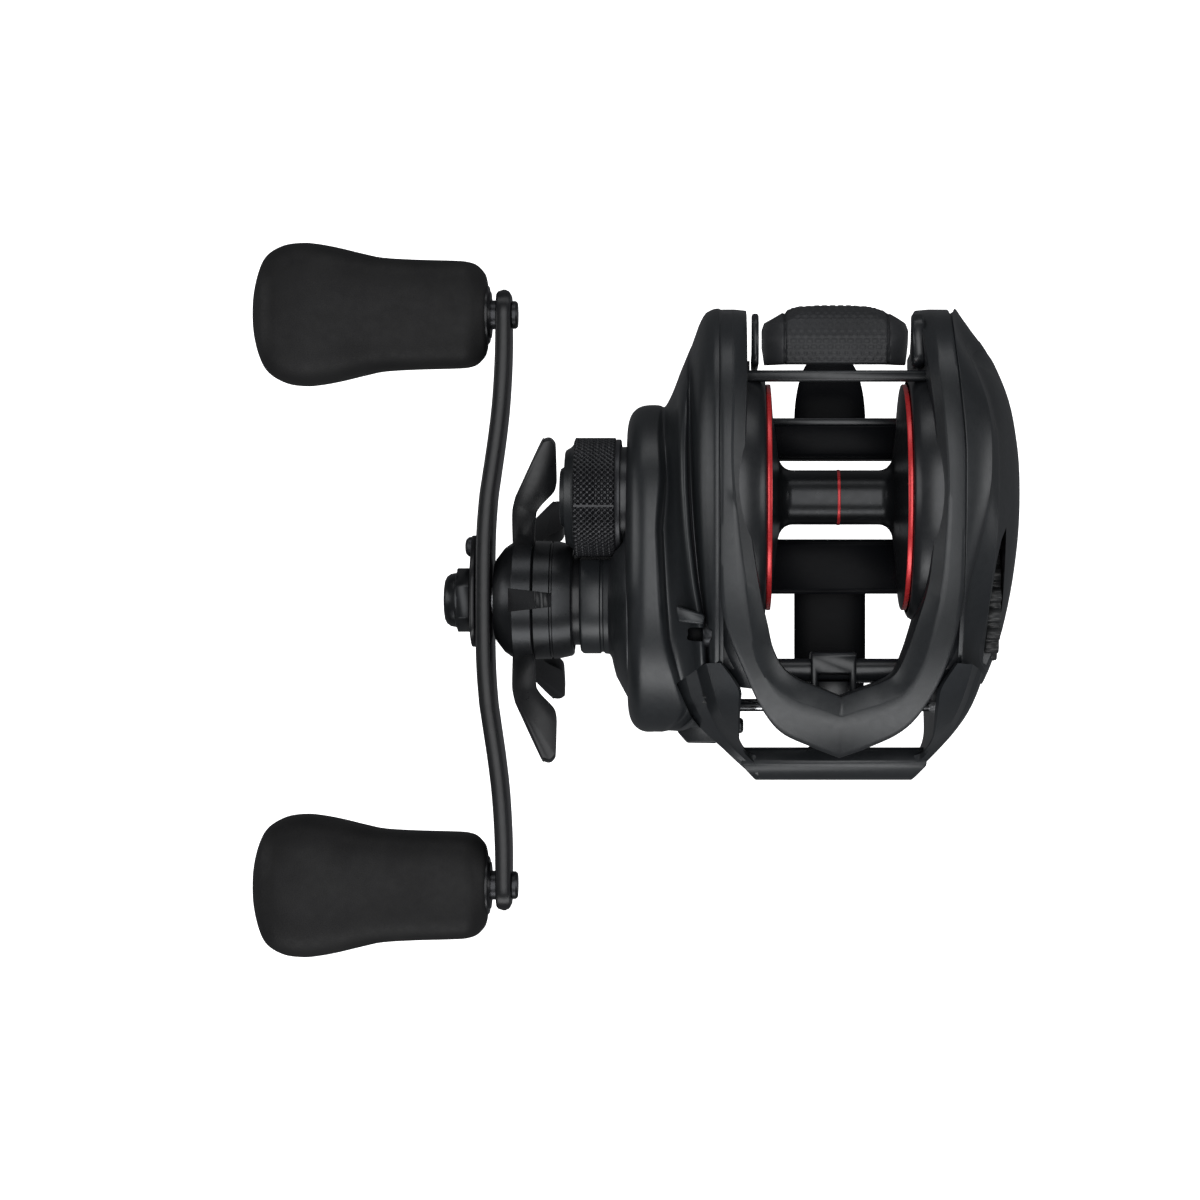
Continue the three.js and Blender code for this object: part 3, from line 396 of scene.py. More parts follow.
def cut_away(obj, part):
    mesh = mesh_of("cutter", part)
    tool = bpy.data.objects.new("cutter", mesh)
    bpy.context.scene.collection.objects.link(tool)
    step = obj.modifiers.new("cut", "BOOLEAN")
    step.operation = "DIFFERENCE"
    step.solver = "EXACT"
    step.object = tool
    apply_modifiers(obj)
    bpy.data.objects.remove(tool)
    bpy.data.meshes.remove(mesh)


# ---- body shells
# side outline of the whole reel: Y, Z
SIDE = [
    (20, 2.4), (29, 7), (34.2, 14), (35.8, 22.5), (34.4, 30.8), (28.5, 37.8), (19, 41.8), (8, 43), (-4, 42),
    (-15, 38.8), (-25, 34), (-32, 28.8), (-36.2, 22.5), (-37.8, 15.5), (-36.4, 9.6), (-30, 5.2), (-18, 2),
    (0, 1.2),
]
SIDE_FINE = spline(SIDE, 6, closed=True)
TOP_LINE = sorted([(y, z) for y, z in SIDE_FINE if z > 22.5])

# round the body, front to rear and bottom to top, both -1 to 1
BODY_TEMPLATE = [
    (1, .02), (.94, .48), (.64, .86), (.17, 1), (-.32, .93), (-.7, .66),
    (-.96, .2), (-1, -.3), (-.83, -.78), (-.36, -1), (.27, -.99), (.76, -.68),
]
TEMPLATE_FINE = spline(BODY_TEMPLATE, 8, closed=True)


def body_ring(row, bends):
    """One closed ring of a side cover. A row is X, front, rear, bottom, top, then its share of each bend."""
    x, front, rear, bottom, top, *shares = row
    ring = []
    for u, v in TEMPLATE_FINE:
        y = lerp(front, rear, (u + 1) / 2)
        z = lerp(bottom, top, (v + 1) / 2)
        shift = sum(share * table(bend, y) for share, bend in zip(shares, bends))
        ring.append((x + shift * ease(0, 0.5, v), y, z))
    return ring


def shrinking(ring):
    """Rings that close an end in its own plane."""
    middle_y, middle_z = (sum(p[i] for p in ring) / len(ring) for i in (1, 2))
    return [[(x, lerp(middle_y, y, share), lerp(middle_z, z, share)) for x, y, z in ring]
            for share in (0.94, 0.8, 0.5, 0.2, 0)]


def side_shell(rows, bends, room, steps=4, corners=()):
    """Closed hollow cover from its outer rows and the plain rows of its room, both from the seam outwards."""
    outer = [body_ring(row, bends) for row in spline(rows, steps, corners=corners)]
    inner = [body_ring(row, ()) for row in spline(room, 3)]
    return grid(outer + shrinking(outer[-1]) + shrinking(inner[-1])[::-1] + inner[::-1],
                wrap_rows=True, wrap_columns=True)


# how far the gear cover's ridge and the valley beside it move over towards the front: Y, dX
RIDGE_BEND = [(-24, 3.2), (-18, 3.0), (-12, 2.6), (-6, 1.5), (1, 0.7), (8, 0.2), (14, 0), (40, 0)]
VALLEY_BEND = [(-30, 3.4), (-26, 3.2), (-21, 2.0), (-15, 0.5), (-8, 0), (2, -0.5), (9, 0.1), (16, -0.3),
               (40, -0.3)]
# X, front, rear, bottom, top, shares of the two bends
GEAR_ROWS = [
    [SEAM_GEAR + 0.5, -28.1, 35.3, 1.5, 42.4, 0, 0], [SEAM_GEAR - 0.03, -28.2, 35.7, 1.4, 42.62, 0, 0],
    [SEAM_GEAR - 0.16, -28.4, 35.75, 1.2, 42.8, 0, 0], [-18.9, -28.5, 35.7, 1.1, 42.75, 0.05, 0],
    [-19.7, -28.6, 35.4, 1.1, 42.3, 0.2, 0], [-20.4, -28.7, 34.9, 1.1, 41.7, 0.35, 0],
    [-21.2, -28.8, 33.5, 1.2, 40.8, 0.52, 0], [-21.9, -28.8, 31.7, 1.3, 39.3, 0.7, 0],
    [-22.4, -28.8, 30.4, 1.3, 38.1, 0.8, 0], [-22.75, -28.9, 29.6, 1.3, 38.2, 0.9, 0],
    [-23.1, -29.0, 28.7, 1.4, 39.5, 0.97, 0], [-23.7, -29.2, 27.2, 1.5, 39.9, 1, 0],
    [-24.25, -29.3, 25.9, 1.8, 39.3, 1, 0], [-24.75, -29.4, 24.6, 2.4, 37.0, 0.75, 0.25],
    [-25.4, -29.4, 22.9, 3.0, 35.3, 0.25, 0.75], [-26.1, -29.4, 21.5, 2.6, 34.7, 0, 1],
    [-26.6, -29.5, 20.9, 1.6, 35.6, 0, 1], [-27.2, -29.6, 21.1, 0.7, 36.5, 0, 0.9],
    [-28.2, -29.6, 21.2, 0.3, 36.6, 0, 0.4],
    [-29.8, -29.6, 21.1, 0.2, 36.5, 0, 0], [-31.0, -29.1, 20.6, 0.9, 35.9, 0, 0],
    [-31.9, -28.1, 19.6, 2.0, 34.6, 0, 0], [-32.4, -26.6, 17.9, 3.4, 32.9, 0, 0],
    [-32.5, -24.6, 15.8, 5.4, 30.8, 0, 0],
]
GEAR_ROOM = [[SEAM_GEAR + 0.5, -26.3, 33.4, 3.3, 40.3], [-20.6, -26.3, 28.5, 3.2, 36.0],
             [-23.6, -26.4, 22.5, 4.5, 32.0], [-26.5, -27.0, 19.4, 3.6, 32.0],
             [-29.5, -27.2, 18.8, 2.8, 33.0], [-30.8, -24.5, 15.4, 6, 30]]
SEAM_BEND = [(-40, 0), (14, 0), (17.6, -0.2), (22.8, -0.6), (30, -1.1), (37, -1.1)]
CREST_BEND = [(-26, -4.4), (-21.9, -3.6), (-17.6, -2.2), (-11.1, -1.2), (-4.6, -0.7), (1.5, -0.1), (12, 0),
              (16, -0.1), (22, -1.2), (28.9, -3.3), (33, -4.6)]
FOLD_BEND = [(-26, -3.9), (-9.9, -3.6), (-6, -3.0), (-1, -1.8), (4.3, -0.7), (9.3, 0), (13.5, 0.1), (17, 0),
             (20.8, -0.5), (28, -2.6), (33, -4.0)]
# X, front, rear, bottom, top, shares of the three bends
PALM_ROWS = [
    [SEAM_PALM - 0.5, -27.0, 35.0, 1.6, 42.4, 1, 0, 0], [SEAM_PALM + 0.03, -27.1, 35.4, 1.5, 42.62, 1, 0, 0],
    [SEAM_PALM + 0.16, -27.2, 35.65, 1.3, 42.8, 0.96, 0, 0.04], [18.95, -27.1, 35.6, 1.3, 42.8, 0.9, 0, 0.1],
    [20.3, -25.8, 33.9, 1.8, 42.5, 0.55, 0, 0.45], [21.6, -24.2, 32.2, 2.4, 42.0, 0.22, 0, 0.78],
    [22.5, -22.8, 31.1, 3.0, 41.3, 0, 0, 1], [22.75, -22.4, 30.9, 3.2, 40.9, 0, 0.05, 0.95],
    [23.3, -21.4, 30.2, 3.5, 39.9, 0, 0.6, 0.4], [23.8, -20.4, 29.5, 4.0, 38.9, 0, 1, 0],
    [24.0, -20.0, 29.2, 4.2, 38.2, 0, 1, 0], [24.9, -17.8, 27.8, 5.0, 36.2, 0, 0.6, 0],
    [26.2, -13.8, 24.6, 7.4, 33.2, 0, 0.2, 0], [27.2, -9.0, 21.0, 10.2, 30.8, 0, 0, 0],
    [27.95, -4.0, 17.0, 13.4, 28.4, 0, 0, 0], [28.35, 0.2, 13.8, 16.6, 26.2, 0, 0, 0],
    [28.5, 4.4, 10.0, 19.4, 24.2, 0, 0, 0],
]
PALM_ROOM = [[SEAM_PALM - 0.5, -17.5, 27.0, 6.5, 38.4], [19.6, -16.8, 26.0, 7.0, 36.0],
             [21.4, -14.5, 23.5, 8.5, 32.5], [23.6, -9, 19.5, 12, 29], [25.4, 0, 14, 16, 26]]

# plan of the frame's two front corners, which the side covers stop at
CORNER_PLAN_GEAR = [(-15, -18.65), (-20.6, -18.65), (-21.6, -19.6), (-24.75, -21.85), (-22.6, -27.0),
                    (-20.6, -29.9), (-19.0, -31.6), (-15, -34)]
CORNER_PLAN_PALM = [(15, -18.6), (20.6, -18.9), (21.6, -20.1), (22.7, -22.1), (30, -22.1), (30, -42),
                    (15, -42)]

# ---- gear cover
OUTSIDE = -60
RECESS_R = 9.75
SLEEVE_R = 8.0


def cap_recess(depth):
    """Ring cut round the tension cap's boss, so that the cap can turn."""
    outline = [(OUTSIDE, RECESS_R), (depth, RECESS_R), (depth, SLEEVE_R), (OUTSIDE, SLEEVE_R)]
    return ring_turned(outline, SPOOL)


def bore(axis, radius, depth, segments=48):
    """Round hole from the gear side to a depth."""
    return solid_turned([(OUTSIDE, radius), (depth, radius)], axis, segments)


shaft_boss = solid_turned([
    (-31, 15.7), (-32.3, 15.6), (-32.7, 15.1), (-33.6, 13.4), (-34.3, 12.1), (-34.7, 10.6), (-35.0, 9.2),
    (-35.4, 8.55), (-36.1, 8.45), (-36.3, 8.2), (-36.6, 8.2), (-36.8, 8.45), (-39.3, 8.45), (-39.6, 8.35),
    (-39.9, 8.0)], SHAFT)
cap_boss = solid_turned([(-30.9, 7.9), (-38.6, 7.9), (-39.2, 7.5)], SPOOL, 64)
port = prism_z(spline([(-22.8, -15.1), (-19.6, -15.2), (-19.3, -14.2), (-19.6, -13.3), (-22.6, -13.2),
                       (-22.9, -14.2)], 4, closed=True), 31, 50)
gear_shell = side_shell(GEAR_ROWS, (RIDGE_BEND, VALLEY_BEND), GEAR_ROOM)
make("gear_cover_shell", gear_shell, PAINT, "root", ["gear_cover"], sharp=30,
     cutters=[cap_recess(-32.4), port, prism_z(CORNER_PLAN_GEAR, 7, 60)])
make("shaft_boss", shaft_boss, PAINT, "root", sharp=30,
     cutters=[cap_recess(-32.85), bore(SPOOL, RECESS_R, -39.15, 64), bore(SPOOL, 4.3, -35.2),
              bore(SHAFT, 6.4, -38)])
make("cap_boss", cap_boss, PAINT_SHADED, "root", sharp=30,
     cutters=[bore(SPOOL, 4.3, -35.2), bore(SHAFT, 6.3, -30)])
port_lip = [(-24.7, -9.8), (-24.3, -12.3), (-20.5, -12.7), (-20.3, -11.2)]
make("port_lip", prism_z(port_lip, 34, 39.3), PAINT, "root", bevel=0.45, segments=4)
# dark plate at the bottom of the port: painted shade, so the hole reads dark
make("port_shade_floor", round_box(-23.6, -19.0, -16.2, -12.0, 30.2, 31.2), BAR, "root", bevel=0.2)
cover_tab = [(-24.9, -27), (-24.9, -30.3), (-23.3, -32.1), (-18.6, -32.2), (-17, -27)]
make("cover_tab", prism_z(cover_tab, 3.2, 7.4), PAINT, "root", bevel=0.3)

# ---- palm cover
dial_slot = prism_z([(22.7, -18.8), (24.2, -19.3), (25.3, -16.6), (25.35, 2.0), (24.5, 0.2), (23.7, -3.2),
                     (22.8, -10)], 24, 45)
palm_shell = side_shell(PALM_ROWS, (SEAM_BEND, CREST_BEND, FOLD_BEND), PALM_ROOM, steps=3, corners=(6, 9))
make("palm_cover_shell", palm_shell, PAINT, "palm_cover", ["palm_cover"], sharp=13,
     cutters=[dial_slot, prism_z(CORNER_PLAN_PALM, -2, 60)])

# ---- brake dial
def toothed(axis, teeth, r_root, r_tip, x0, x1, share=0.55, segments=8):
    """Wheel with rounded teeth."""
    outline = []
    for k in range(teeth * segments):
        phase = (k % segments) / segments
        lift = ease(0.0, 0.2, phase) - ease(share, share + 0.2, phase)
        r = lerp(r_root, r_tip, lift)
        a = TAU * k / (teeth * segments)
        outline.append((axis[0] + r * math.cos(a), axis[1] + r * math.sin(a)))
    return prism_x(outline, x0, x1)


make("brake_dial_wheel", toothed(DIAL, 18, 9.1, 10, 22.95, 25.15), PLASTIC, "brake_dial",
     ["brake_dial"], bevel=0.18, segments=2, cutters=[solid_turned([(20, 3), (30, 3)], DIAL, 32)])

# ---- cowl
COWL_OUTER = [
    (SEAM_GEAR, 36.2), (SEAM_GEAR, 24), (SEAM_GEAR, 12), (SEAM_GEAR, 0), (SEAM_GEAR, -6), (-17.6, -11),
    (-16.5, -14.8), (-15, -18.4), (-12, -25), (-8.8, -29.2), (-4, -31.6), (0.4, -33.4),
    (4.6, -31.8), (9.4, -29.4), (12.6, -26.1), (15.6, -20.4), (17.6, -13.5), (18.3, -8), (SEAM_PALM, -2),
    (SEAM_PALM, 12), (17.9, 22.8), (17.4, 30), (17.4, 36.2),
]
COWL_INNER = [
    (-13.9, 36.2), (-13.9, 24), (-14.15, 12), (-13.5, 2.6), (-12.6, -3.8), (-11.6, -9.4), (-10.8, -12.8),
    (-10.0, -16.2), (-8.4, -19.2), (-5.9, -21.1), (-3, -22.3), (0.4, -23.7),
    (3.6, -22.5), (6.3, -21.5), (8.6, -20), (10.2, -16.6), (11.7, -11.8), (12.8, -8), (13.5, -3.6),
    (14.5, 8), (14.1, 18), (13.2, 27), (12.4, 36.2),
]
APEX = 11


def cowl():
    outer = spline(COWL_OUTER, 6, corners=(APEX,))
    inner = spline(COWL_INNER, 6, corners=(APEX,))
    rows = []
    for (ox, oy), (ix, iy) in zip(outer, inner):
        width = math.hypot(ix - ox, iy - oy)
        dx, dy = (ix - ox) / width, (iy - oy) / width
        front = ease(-6, -22, oy)
        bevel = lerp(2.0, 3.0, front)
        bottom = lerp(24.6, 17.2, ease(24, 25, oy))
        profile = [
            (0.0, None, bottom), (0.0, -0.42, None), (0.05, -0.3, None), (0.2, -0.2, None),
            (0.7, -0.12, None), (width * 0.45, -0.05, None), (width - bevel - 0.25, 0.0, None),
            (width - bevel + 0.15, -0.12, None), (width - 0.55, lerp(-1.35, -1.6, front), None),
            (width - 0.15, lerp(-1.7, -2.0, front), None), (width, lerp(-2.3, -2.6, front), None),
            (width, None, bottom),
        ]
        row = []
        for along, below, fixed in profile:
            x, y = ox + dx * along, oy + dy * along
            z = fixed if fixed is not None else table(TOP_LINE, y) + below
            row.append((x, y, max(z, bottom if fixed is None else z)))
        rows.append(row)
    return grid(rows, wrap_columns=True, cap_start=True, cap_end=True)


make("cowl", cowl(), PAINT, "root", ["top_cowl"], sharp=26)

# ---- frame
PLATE_FRONT = -19.5
PLATE_TUCK = 0.4
SPOOL_BORE = 18.4


def reach(outline, cy, cz, dy, dz):
    """Distance from a point to an outline along a direction."""
    best = 0
    for (y0, z0), (y1, z1) in zip(outline, outline[1:] + outline[:1]):
        ey, ez = y1 - y0, z1 - z0
        cross = dy * ez - dz * ey
        if abs(cross) < 1e-9:
            continue
        t = ((y0 - cy) * ez - (z0 - cz) * ey) / cross
        s = ((y0 - cy) * dz - (z0 - cz) * dy) / cross
        if t > 0 and -1e-9 <= s <= 1 + 1e-9:
            best = max(best, t)
    return best


def side_plate(x0, x1):
    """Side wall round the spool bore, inside the cowl above and flush with the covers below."""
    inner, outer = [], []
    cy, cz = SPOOL
    for k in range(120):
        a = TAU * k / 120
        dy, dz = math.cos(a), math.sin(a)
        far = reach(SIDE_FINE, cy, cz, dy, dz)
        tuck = 2.6 * ease(-0.05, 0.25, dz) + PLATE_TUCK
        if dy < 0:
            far = min(far, (cy - PLATE_FRONT) / -dy + tuck)
        inner.append((cy + SPOOL_BORE * dy, cz + SPOOL_BORE * dz))
        outer.append((cy + (far - tuck) * dy, cz + (far - tuck) * dz))
    rows = [
        [(x0, y, z) for y, z in inner], [(x0, y, z) for y, z in outer],
        [(x1, y, z) for y, z in outer], [(x1, y, z) for y, z in inner],
    ]
    return grid(rows, wrap_rows=True, wrap_columns=True)


make("side_plate_gear", side_plate(-17.9, -14.3), PAINT_SHADED, "root", ["frame"], bevel=0.4)
make("side_plate_palm", side_plate(14.4, 18.6), PAINT_SHADED, "root", bevel=0.4)
for side, name in ((-1, "gear"), (1, "palm")):
    seat = [(11.02, 18.0), (11.02, 18.3), (11.3, 18.8), (12.2, 19.3), (13.4, 19.6), (14.4, 19.8),
            (15.4, 19.8), (15.4, 18.0)]
    make("spool_seat_" + name, ring_turned([(side * x, r) for x, r in seat], SPOOL, 160), PAINT_SHADED,
         "root", sharp=40)

rear_bar = [(13.6, 3.2), (14.4, 2.4), (19.6, 2.4), (20.3, 3.1), (20.3, 8.9), (19.9, 9.3), (19.3, 9.35),
            (19.0, 9.7), (14.4, 9.7), (13.6, 9.1)]
front_bar = [(-8, 3.2), (-7.2, 2.4), (0.1, 2.4), (0.8, 3.1), (0.8, 8.4), (0.1, 9.1), (-7.3, 9.1), (-8, 8.5)]
make("rear_cross_member", prism_x(rear_bar, -14.6, 14.6), BAR, "root", bevel=0.25)
make("rear_member_edge", round_box(-14.5, 14.5, 19.15, 20.2, 9.2, 9.75), PAINT_SHADED, "root",
     bevel=0.15)
make("front_cross_member", prism_x(front_bar, -14.6, 14.6), BAR, "root", bevel=0.25)
top_bar = [(24.4, 30.3), (24.7, 30), (25.8, 30), (26.1, 30.3), (26.1, 31.7), (25.8, 32), (24.7, 32),
           (24.4, 31.7)]
make("rear_top_bar", prism_x(top_bar, -14.4, 14.4), PAINT_SHADED, "root", bevel=0.15)


def corner_strut(*lines):
    """One front corner of the frame. Lines run rear to front: inner top edge, two creases, outer edge."""
    rows = []
    for (ix, iy, iz), (bx, by, bz), (ax, ay, az), (ox, oy, oz) in zip(*[spline(line, 6) for line in lines]):
        rows.append([
            (ix, iy, 6.0), (ix, iy, iz - 0.7), (lerp(ix, bx, 0.1), lerp(iy, by, 0.1), iz), (bx, by, bz),
            (ax, ay, az), (lerp(ax, ox, 0.55), lerp(ay, oy, 0.55), lerp(az, oz, 0.42)), (ox, oy, oz),
            (ox, oy, min(oz - 0.6, 9)), (lerp(ix, ox, 0.8), lerp(iy, oy, 0.8), 6.0),
        ])
    return grid(rows, wrap_columns=True, cap_start=True, cap_end=True)


CORNER_GEAR = (
    [(-17.7, -18.5, 36.4), (-14.96, -22.3, 34.4), (-14.9, -25.1, 32.2), (-15.0, -29.4, 26),
     (-14.85, -31.4, 21), (-13.8, -33.1, 14.6), (-12.4, -33.6, 13.4)],
    [(-20.1, -18.6, 35.2), (-19.1, -22.4, 32.4), (-18.2, -25.6, 28.8), (-16.9, -29, 23.2),
     (-15.4, -31.8, 18.4), (-13.2, -34.3, 14.4), (-12.0, -35.4, 13.3)],
    [(-21.7, -19.3, 31.6), (-20.8, -23, 27.4), (-19.8, -26.2, 23.6), (-18.1, -29.6, 18.9),
     (-16.1, -32.3, 15.4), (-13.3, -35.1, 13.2), (-11.9, -36.4, 12.5)],
    [(-24.7, -21.6, 27.8), (-23.8, -24.9, 24.2), (-22.2, -27.7, 20.8), (-20.3, -30.0, 17.2),
     (-17.9, -32.3, 14.7), (-14.35, -35.7, 12.6), (-11.9, -37.6, 11.4)],
)
CORNER_PALM = (
    [(17.6, -18.5, 36.4), (15.2, -22.3, 34.4), (14.9, -25.1, 32.2), (15.0, -29.4, 26), (14.85, -31.4, 21),
     (14.2, -33.1, 14.6), (13.0, -33.6, 13.4)],
    [(20.3, -18.8, 34.8), (19.7, -22, 31.8), (18.9, -25.2, 28.4), (17.8, -28.4, 23.6), (16.4, -31.0, 18.8),
     (14.4, -33.9, 14.6), (12.9, -35.1, 13.4)],
    [(21.4, -19.4, 31.4), (20.8, -22.6, 27.4), (20.0, -25.8, 23.6), (18.8, -29, 19.2), (17.1, -31.7, 15.8),
     (14.7, -34.5, 13.4), (12.9, -36.0, 12.7)],
    [(22.6, -20.6, 27.4), (22.0, -23.4, 24.2), (21.0, -26.4, 20.6), (19.6, -29.1, 17.2), (17.9, -31.5, 14.9),
     (15.2, -34.6, 12.8), (12.9, -36.9, 11.6)],
)
make("front_corner_gear", corner_strut(*CORNER_GEAR), PAINT, "root", sharp=8)
make("front_corner_palm", corner_strut(*CORNER_PALM), PAINT, "root", sharp=8)


def shoulder(edge, rim):
    """Flank that falls from the cowl's edge to the top of a front corner."""
    rows = []
    for (ex, ey), (rx, ry, drop) in zip(spline(edge, 6), spline(rim, 6)):
        top, low = table(TOP_LINE, ey) - 1.5, table(TOP_LINE, ry) - drop
        rows.append([(lerp(ex, rx, -0.3), ey, 26), (lerp(ex, rx, -0.3), ey, top), (ex, ey, top - 0.1),
                     (lerp(ex, rx, 0.9), lerp(ey, ry, 0.9), lerp(top, low, 0.8)), (rx, ry, low),
                     (rx, ry, 26)])
    return grid(rows, wrap_columns=True, cap_start=True, cap_end=True)


shoulder_edges = {
    "gear": ([(-17.5, -8), (-17.0, -11), (-16, -14.6), (-14.6, -18), (-12.4, -22.6)],
             [(-17.98, -8.4, 1.7), (-17.98, -12, 2.2), (-17.98, -15.4, 3.0), (-17.8, -18.7, 3.6),
              (-15.2, -22.3, 3.4)]),
    "palm": ([(17.8, -8), (17.3, -11), (16.6, -14.6), (15.4, -18), (13.2, -22.6)],
             [(18.42, -8.4, 1.7), (18.42, -12, 2.2), (18.42, -15.4, 3.0), (18.0, -18.7, 3.6),
              (15.4, -22.3, 3.4)]),
}
for side, (edge, rim) in shoulder_edges.items():
    make("shoulder_" + side, shoulder(edge, rim), PAINT_SHADED, "root", sharp=30)
make("corner_screw", solid_turned([(-15.4, 1.2), (-14.75, 1.2), (-14.5, 1.05), (-14.35, 0.7), (-14.35, 0.1)],
                                  (-28.6, 22), 32), SCREW, "root", sharp=30)
crossbar = [
    (-32.5, 12.4), (-32.9, 13.0), (-34.5, 13.55), (-34.9, 13.6), (-36.0, 12.9), (-37.3, 11.6),
    (-37.9, 10.2), (-37.9, 8.2), (-37.0, 6.4), (-35.6, 6.0), (-33.6, 6.0), (-33.2, 6.6),
]
bar_ends = [prism_z([(-11.7, -38.6), (-15.6, -38.6), (-15.6, -34.2)], 0, 20),
            prism_z([(12.2, -38.6), (16.2, -38.6), (16.2, -33.9)], 0, 20)]
make("front_crossbar", prism_x(crossbar, -14.6, 14.95), PAINT, "root", bevel=0.2, sharp=14,
     cutters=bar_ends)
make("crossbar_stop", round_box(-3.9, 5.0, -34.0, -32.4, 11.0, 13.0), PAINT_SHADED, "root",
     bevel=0.3)

# ---- foot
FOOT_FRONT = [(0.8, 5.8), (-12, 5.8), (-20, 5.75), (-25, 5.3), (-28.6, 4.3), (-30.8, 2.6), (-31.5, 0)]
FOOT_REAR = [(14.3, 5.8), (17, 5.8), (22, 5.75), (26, 5.2), (29, 4.2), (30.9, 2.6), (31.6, 0)]


def foot_half(edge):
    """One half of the foot, thinned towards its free end. Edge points are Y and half-width."""
    fine = spline(edge, 6)
    base, tip = fine[0][0], fine[-1][0]
    rows = []
    for y, half in fine:
        thick = lerp(2.2, 1.0, ease(0.55, 1.0, (y - base) / (tip - base)))
        crown = 0.25 * thick
        half = max(half, 0.3)
        row = [(-half, y, 0), (-half, y, thick - crown)]
        row += [(half * u, y, thick - crown * abs(u) ** 3) for u in (-0.85, -0.6, -0.3, 0, 0.3, 0.6, 0.85)]
        row += [(half, y, thick - crown), (half, y, 0)]
        rows.append(row)
    return grid(rows, wrap_columns=True, cap_start=True, cap_end=True)


for name, edge, hole_y in (("front", FOOT_FRONT, -3.6), ("rear", FOOT_REAR, 16.9)):
    make("foot_" + name, foot_half(edge), BAR, "root", ["reel_foot_" + name], bevel=0.25,
         cutters=[prism_z(circle(0, hole_y, 2.3, 32), -1, 0.9)])

# ---- thumb bar
PAD_X = 8.1
PAD_PITCH_X = 1.24
PAD_PITCH_Y = 0.92
PAD_COLUMNS = 152
PAD_SIDE = [(27.0, 30.9), (27.3, 31.6), (28.3, 32.15), (29.8, 32.45), (31.5, 32.4), (34, 31.2), (35.8, 28.9),
            (36.5, 26.4)]
PAD_GEAR_EDGE = [(27.0, -11.3), (29.5, -11.7), (32.2, -11.7), (33.4, -11.3), (34.3, -9.8), (35.1, -8.6),
                 (35.9, -7.2), (36.6, -5.4)]
PAD_PALM_EDGE = [(27.0, 10.4), (30, 10.7), (32.2, 10.8), (33.4, 10.4), (34.3, 9.2), (35.1, 8.0), (35.9, 6.4),
                 (36.6, 4.6)]


def slab(top, bottom):
    """Closed slab between two equal grids of points."""
    n, m = len(top), len(top[0])
    verts = [p for row in top for p in row] + [p for row in bottom for p in row]
    faces = []
    base = n * m
    for i in range(n - 1):
        for j in range(m - 1):
            a, b, c, d = i * m + j, i * m + j + 1, (i + 1) * m + j + 1, (i + 1) * m + j
            faces.append((a, b, c, d))
            faces.append((base + d, base + c, base + b, base + a))
    edge = [j for j in range(m)] + [i * m + m - 1 for i in range(1, n)]
    edge += [(n - 1) * m + j for j in range(m - 2, -1, -1)] + [i * m for i in range(n - 2, 0, -1)]
    for a, b in zip(edge, edge[1:] + edge[:1]):
        faces.append((b, a, base + a, base + b))
    return verts, faces


def pad_lift(x, travelled):
    """Height of the staggered pattern and the grooves, at a distance round the pad from its front edge."""
    lift = 0.0
    if -PAD_X + 0.35 < x < PAD_X - 0.75 and travelled > 0.7:
        line = int(travelled / PAD_PITCH_Y)
        u = (x / PAD_PITCH_X + 0.5 * (line % 2)) % 1 - 0.5
        v = (travelled / PAD_PITCH_Y) % 1 - 0.5
        lift = 0.1 * (1 - ease(0.24, 0.44, abs(u))) * (1 - ease(0.2, 0.42, abs(v)))
    groove = min(abs(x + PAD_X), abs(x - PAD_X + 0.4))
    return lift - 0.35 * (1 - ease(0.08, 0.26, groove))


def thumb_pad():
    """Curved pad, rounded down at both sides and at the rear, over a plain underside."""
    side = spline(PAD_SIDE, 12)
    rows = []
    travelled = 0.0
    for i, (y, z) in enumerate(side):
        if i:
            travelled += math.hypot(y - side[i - 1][0], z - side[i - 1][1])
        left, right = table(PAD_GEAR_EDGE, y), table(PAD_PALM_EDGE, y)
        a, b = side[max(0, i - 1)], side[min(len(side) - 1, i + 1)]
        size = math.hypot(b[0] - a[0], b[1] - a[1])
        ny, nz = -(b[1] - a[1]) / size, (b[0] - a[0]) / size
        row = []
        for j in range(PAD_COLUMNS + 1):
            x = lerp(left, right, j / PAD_COLUMNS)
            lift = pad_lift(x, travelled)
            side_fall = 1.5 * ease(3.4, 0, x - left) + 1.5 * ease(3.4, 0, right - x)
            row.append((x, y + ny * lift, z + nz * lift - side_fall))
        rows.append(row)
    under = [[(x * 0.97, min(max(y - 0.4, 27.2), 35.4), max(z - 2.3, 25.6)) for x, y, z in row]
             for row in rows]
    return slab(rows, under)


make("thumb_pad", thumb_pad(), PAD, "thumb_bar", ["thumb_bar"], sharp=50)
thumb_tab = [(26.8, 19.8), (26.7, 30.8), (27.4, 32.4), (28.6, 32.9), (33.4, 32.4), (34.9, 30.6), (34.9, 28.6),
             (31, 27.6), (29.4, 26), (29, 20)]
for side, x0, x1 in (("gear", -12.1, -13.2), ("palm", 11.3, 13.2)):
    make("thumb_tab_" + side, prism_x(thumb_tab, x0, x1), PAINT_SHADED, "thumb_bar", bevel=0.45)

# ---- spool
# X from the middle, radius
ARBOR_HALF = [
    (0, 4.25), (6.8, 4.25), (7.3, 4.33), (7.9, 4.6), (8.4, 5.1), (8.75, 5.7), (8.95, 6.4), (9.15, 7.8),
    (9.85, 13), (10.1, 16.6), (10.18, 17.35), (10.3, 17.5),
]
FLANGE_BACK = [(10.8, 17.5), (10.9, 17.4), (10.95, 17.1), (10.95, 16.4), (10.7, 15.6), (10.5, 13.4),
               (10.25, 9), (10.1, 3.2), (10.1, 1.6)]
RIM = [(10.2, 17.3), (10.2, 17.5), (10.32, 17.6), (10.82, 17.6), (10.95, 17.48), (10.95, 17.0), (10.88, 16.9),
       (10.5, 16.9)]


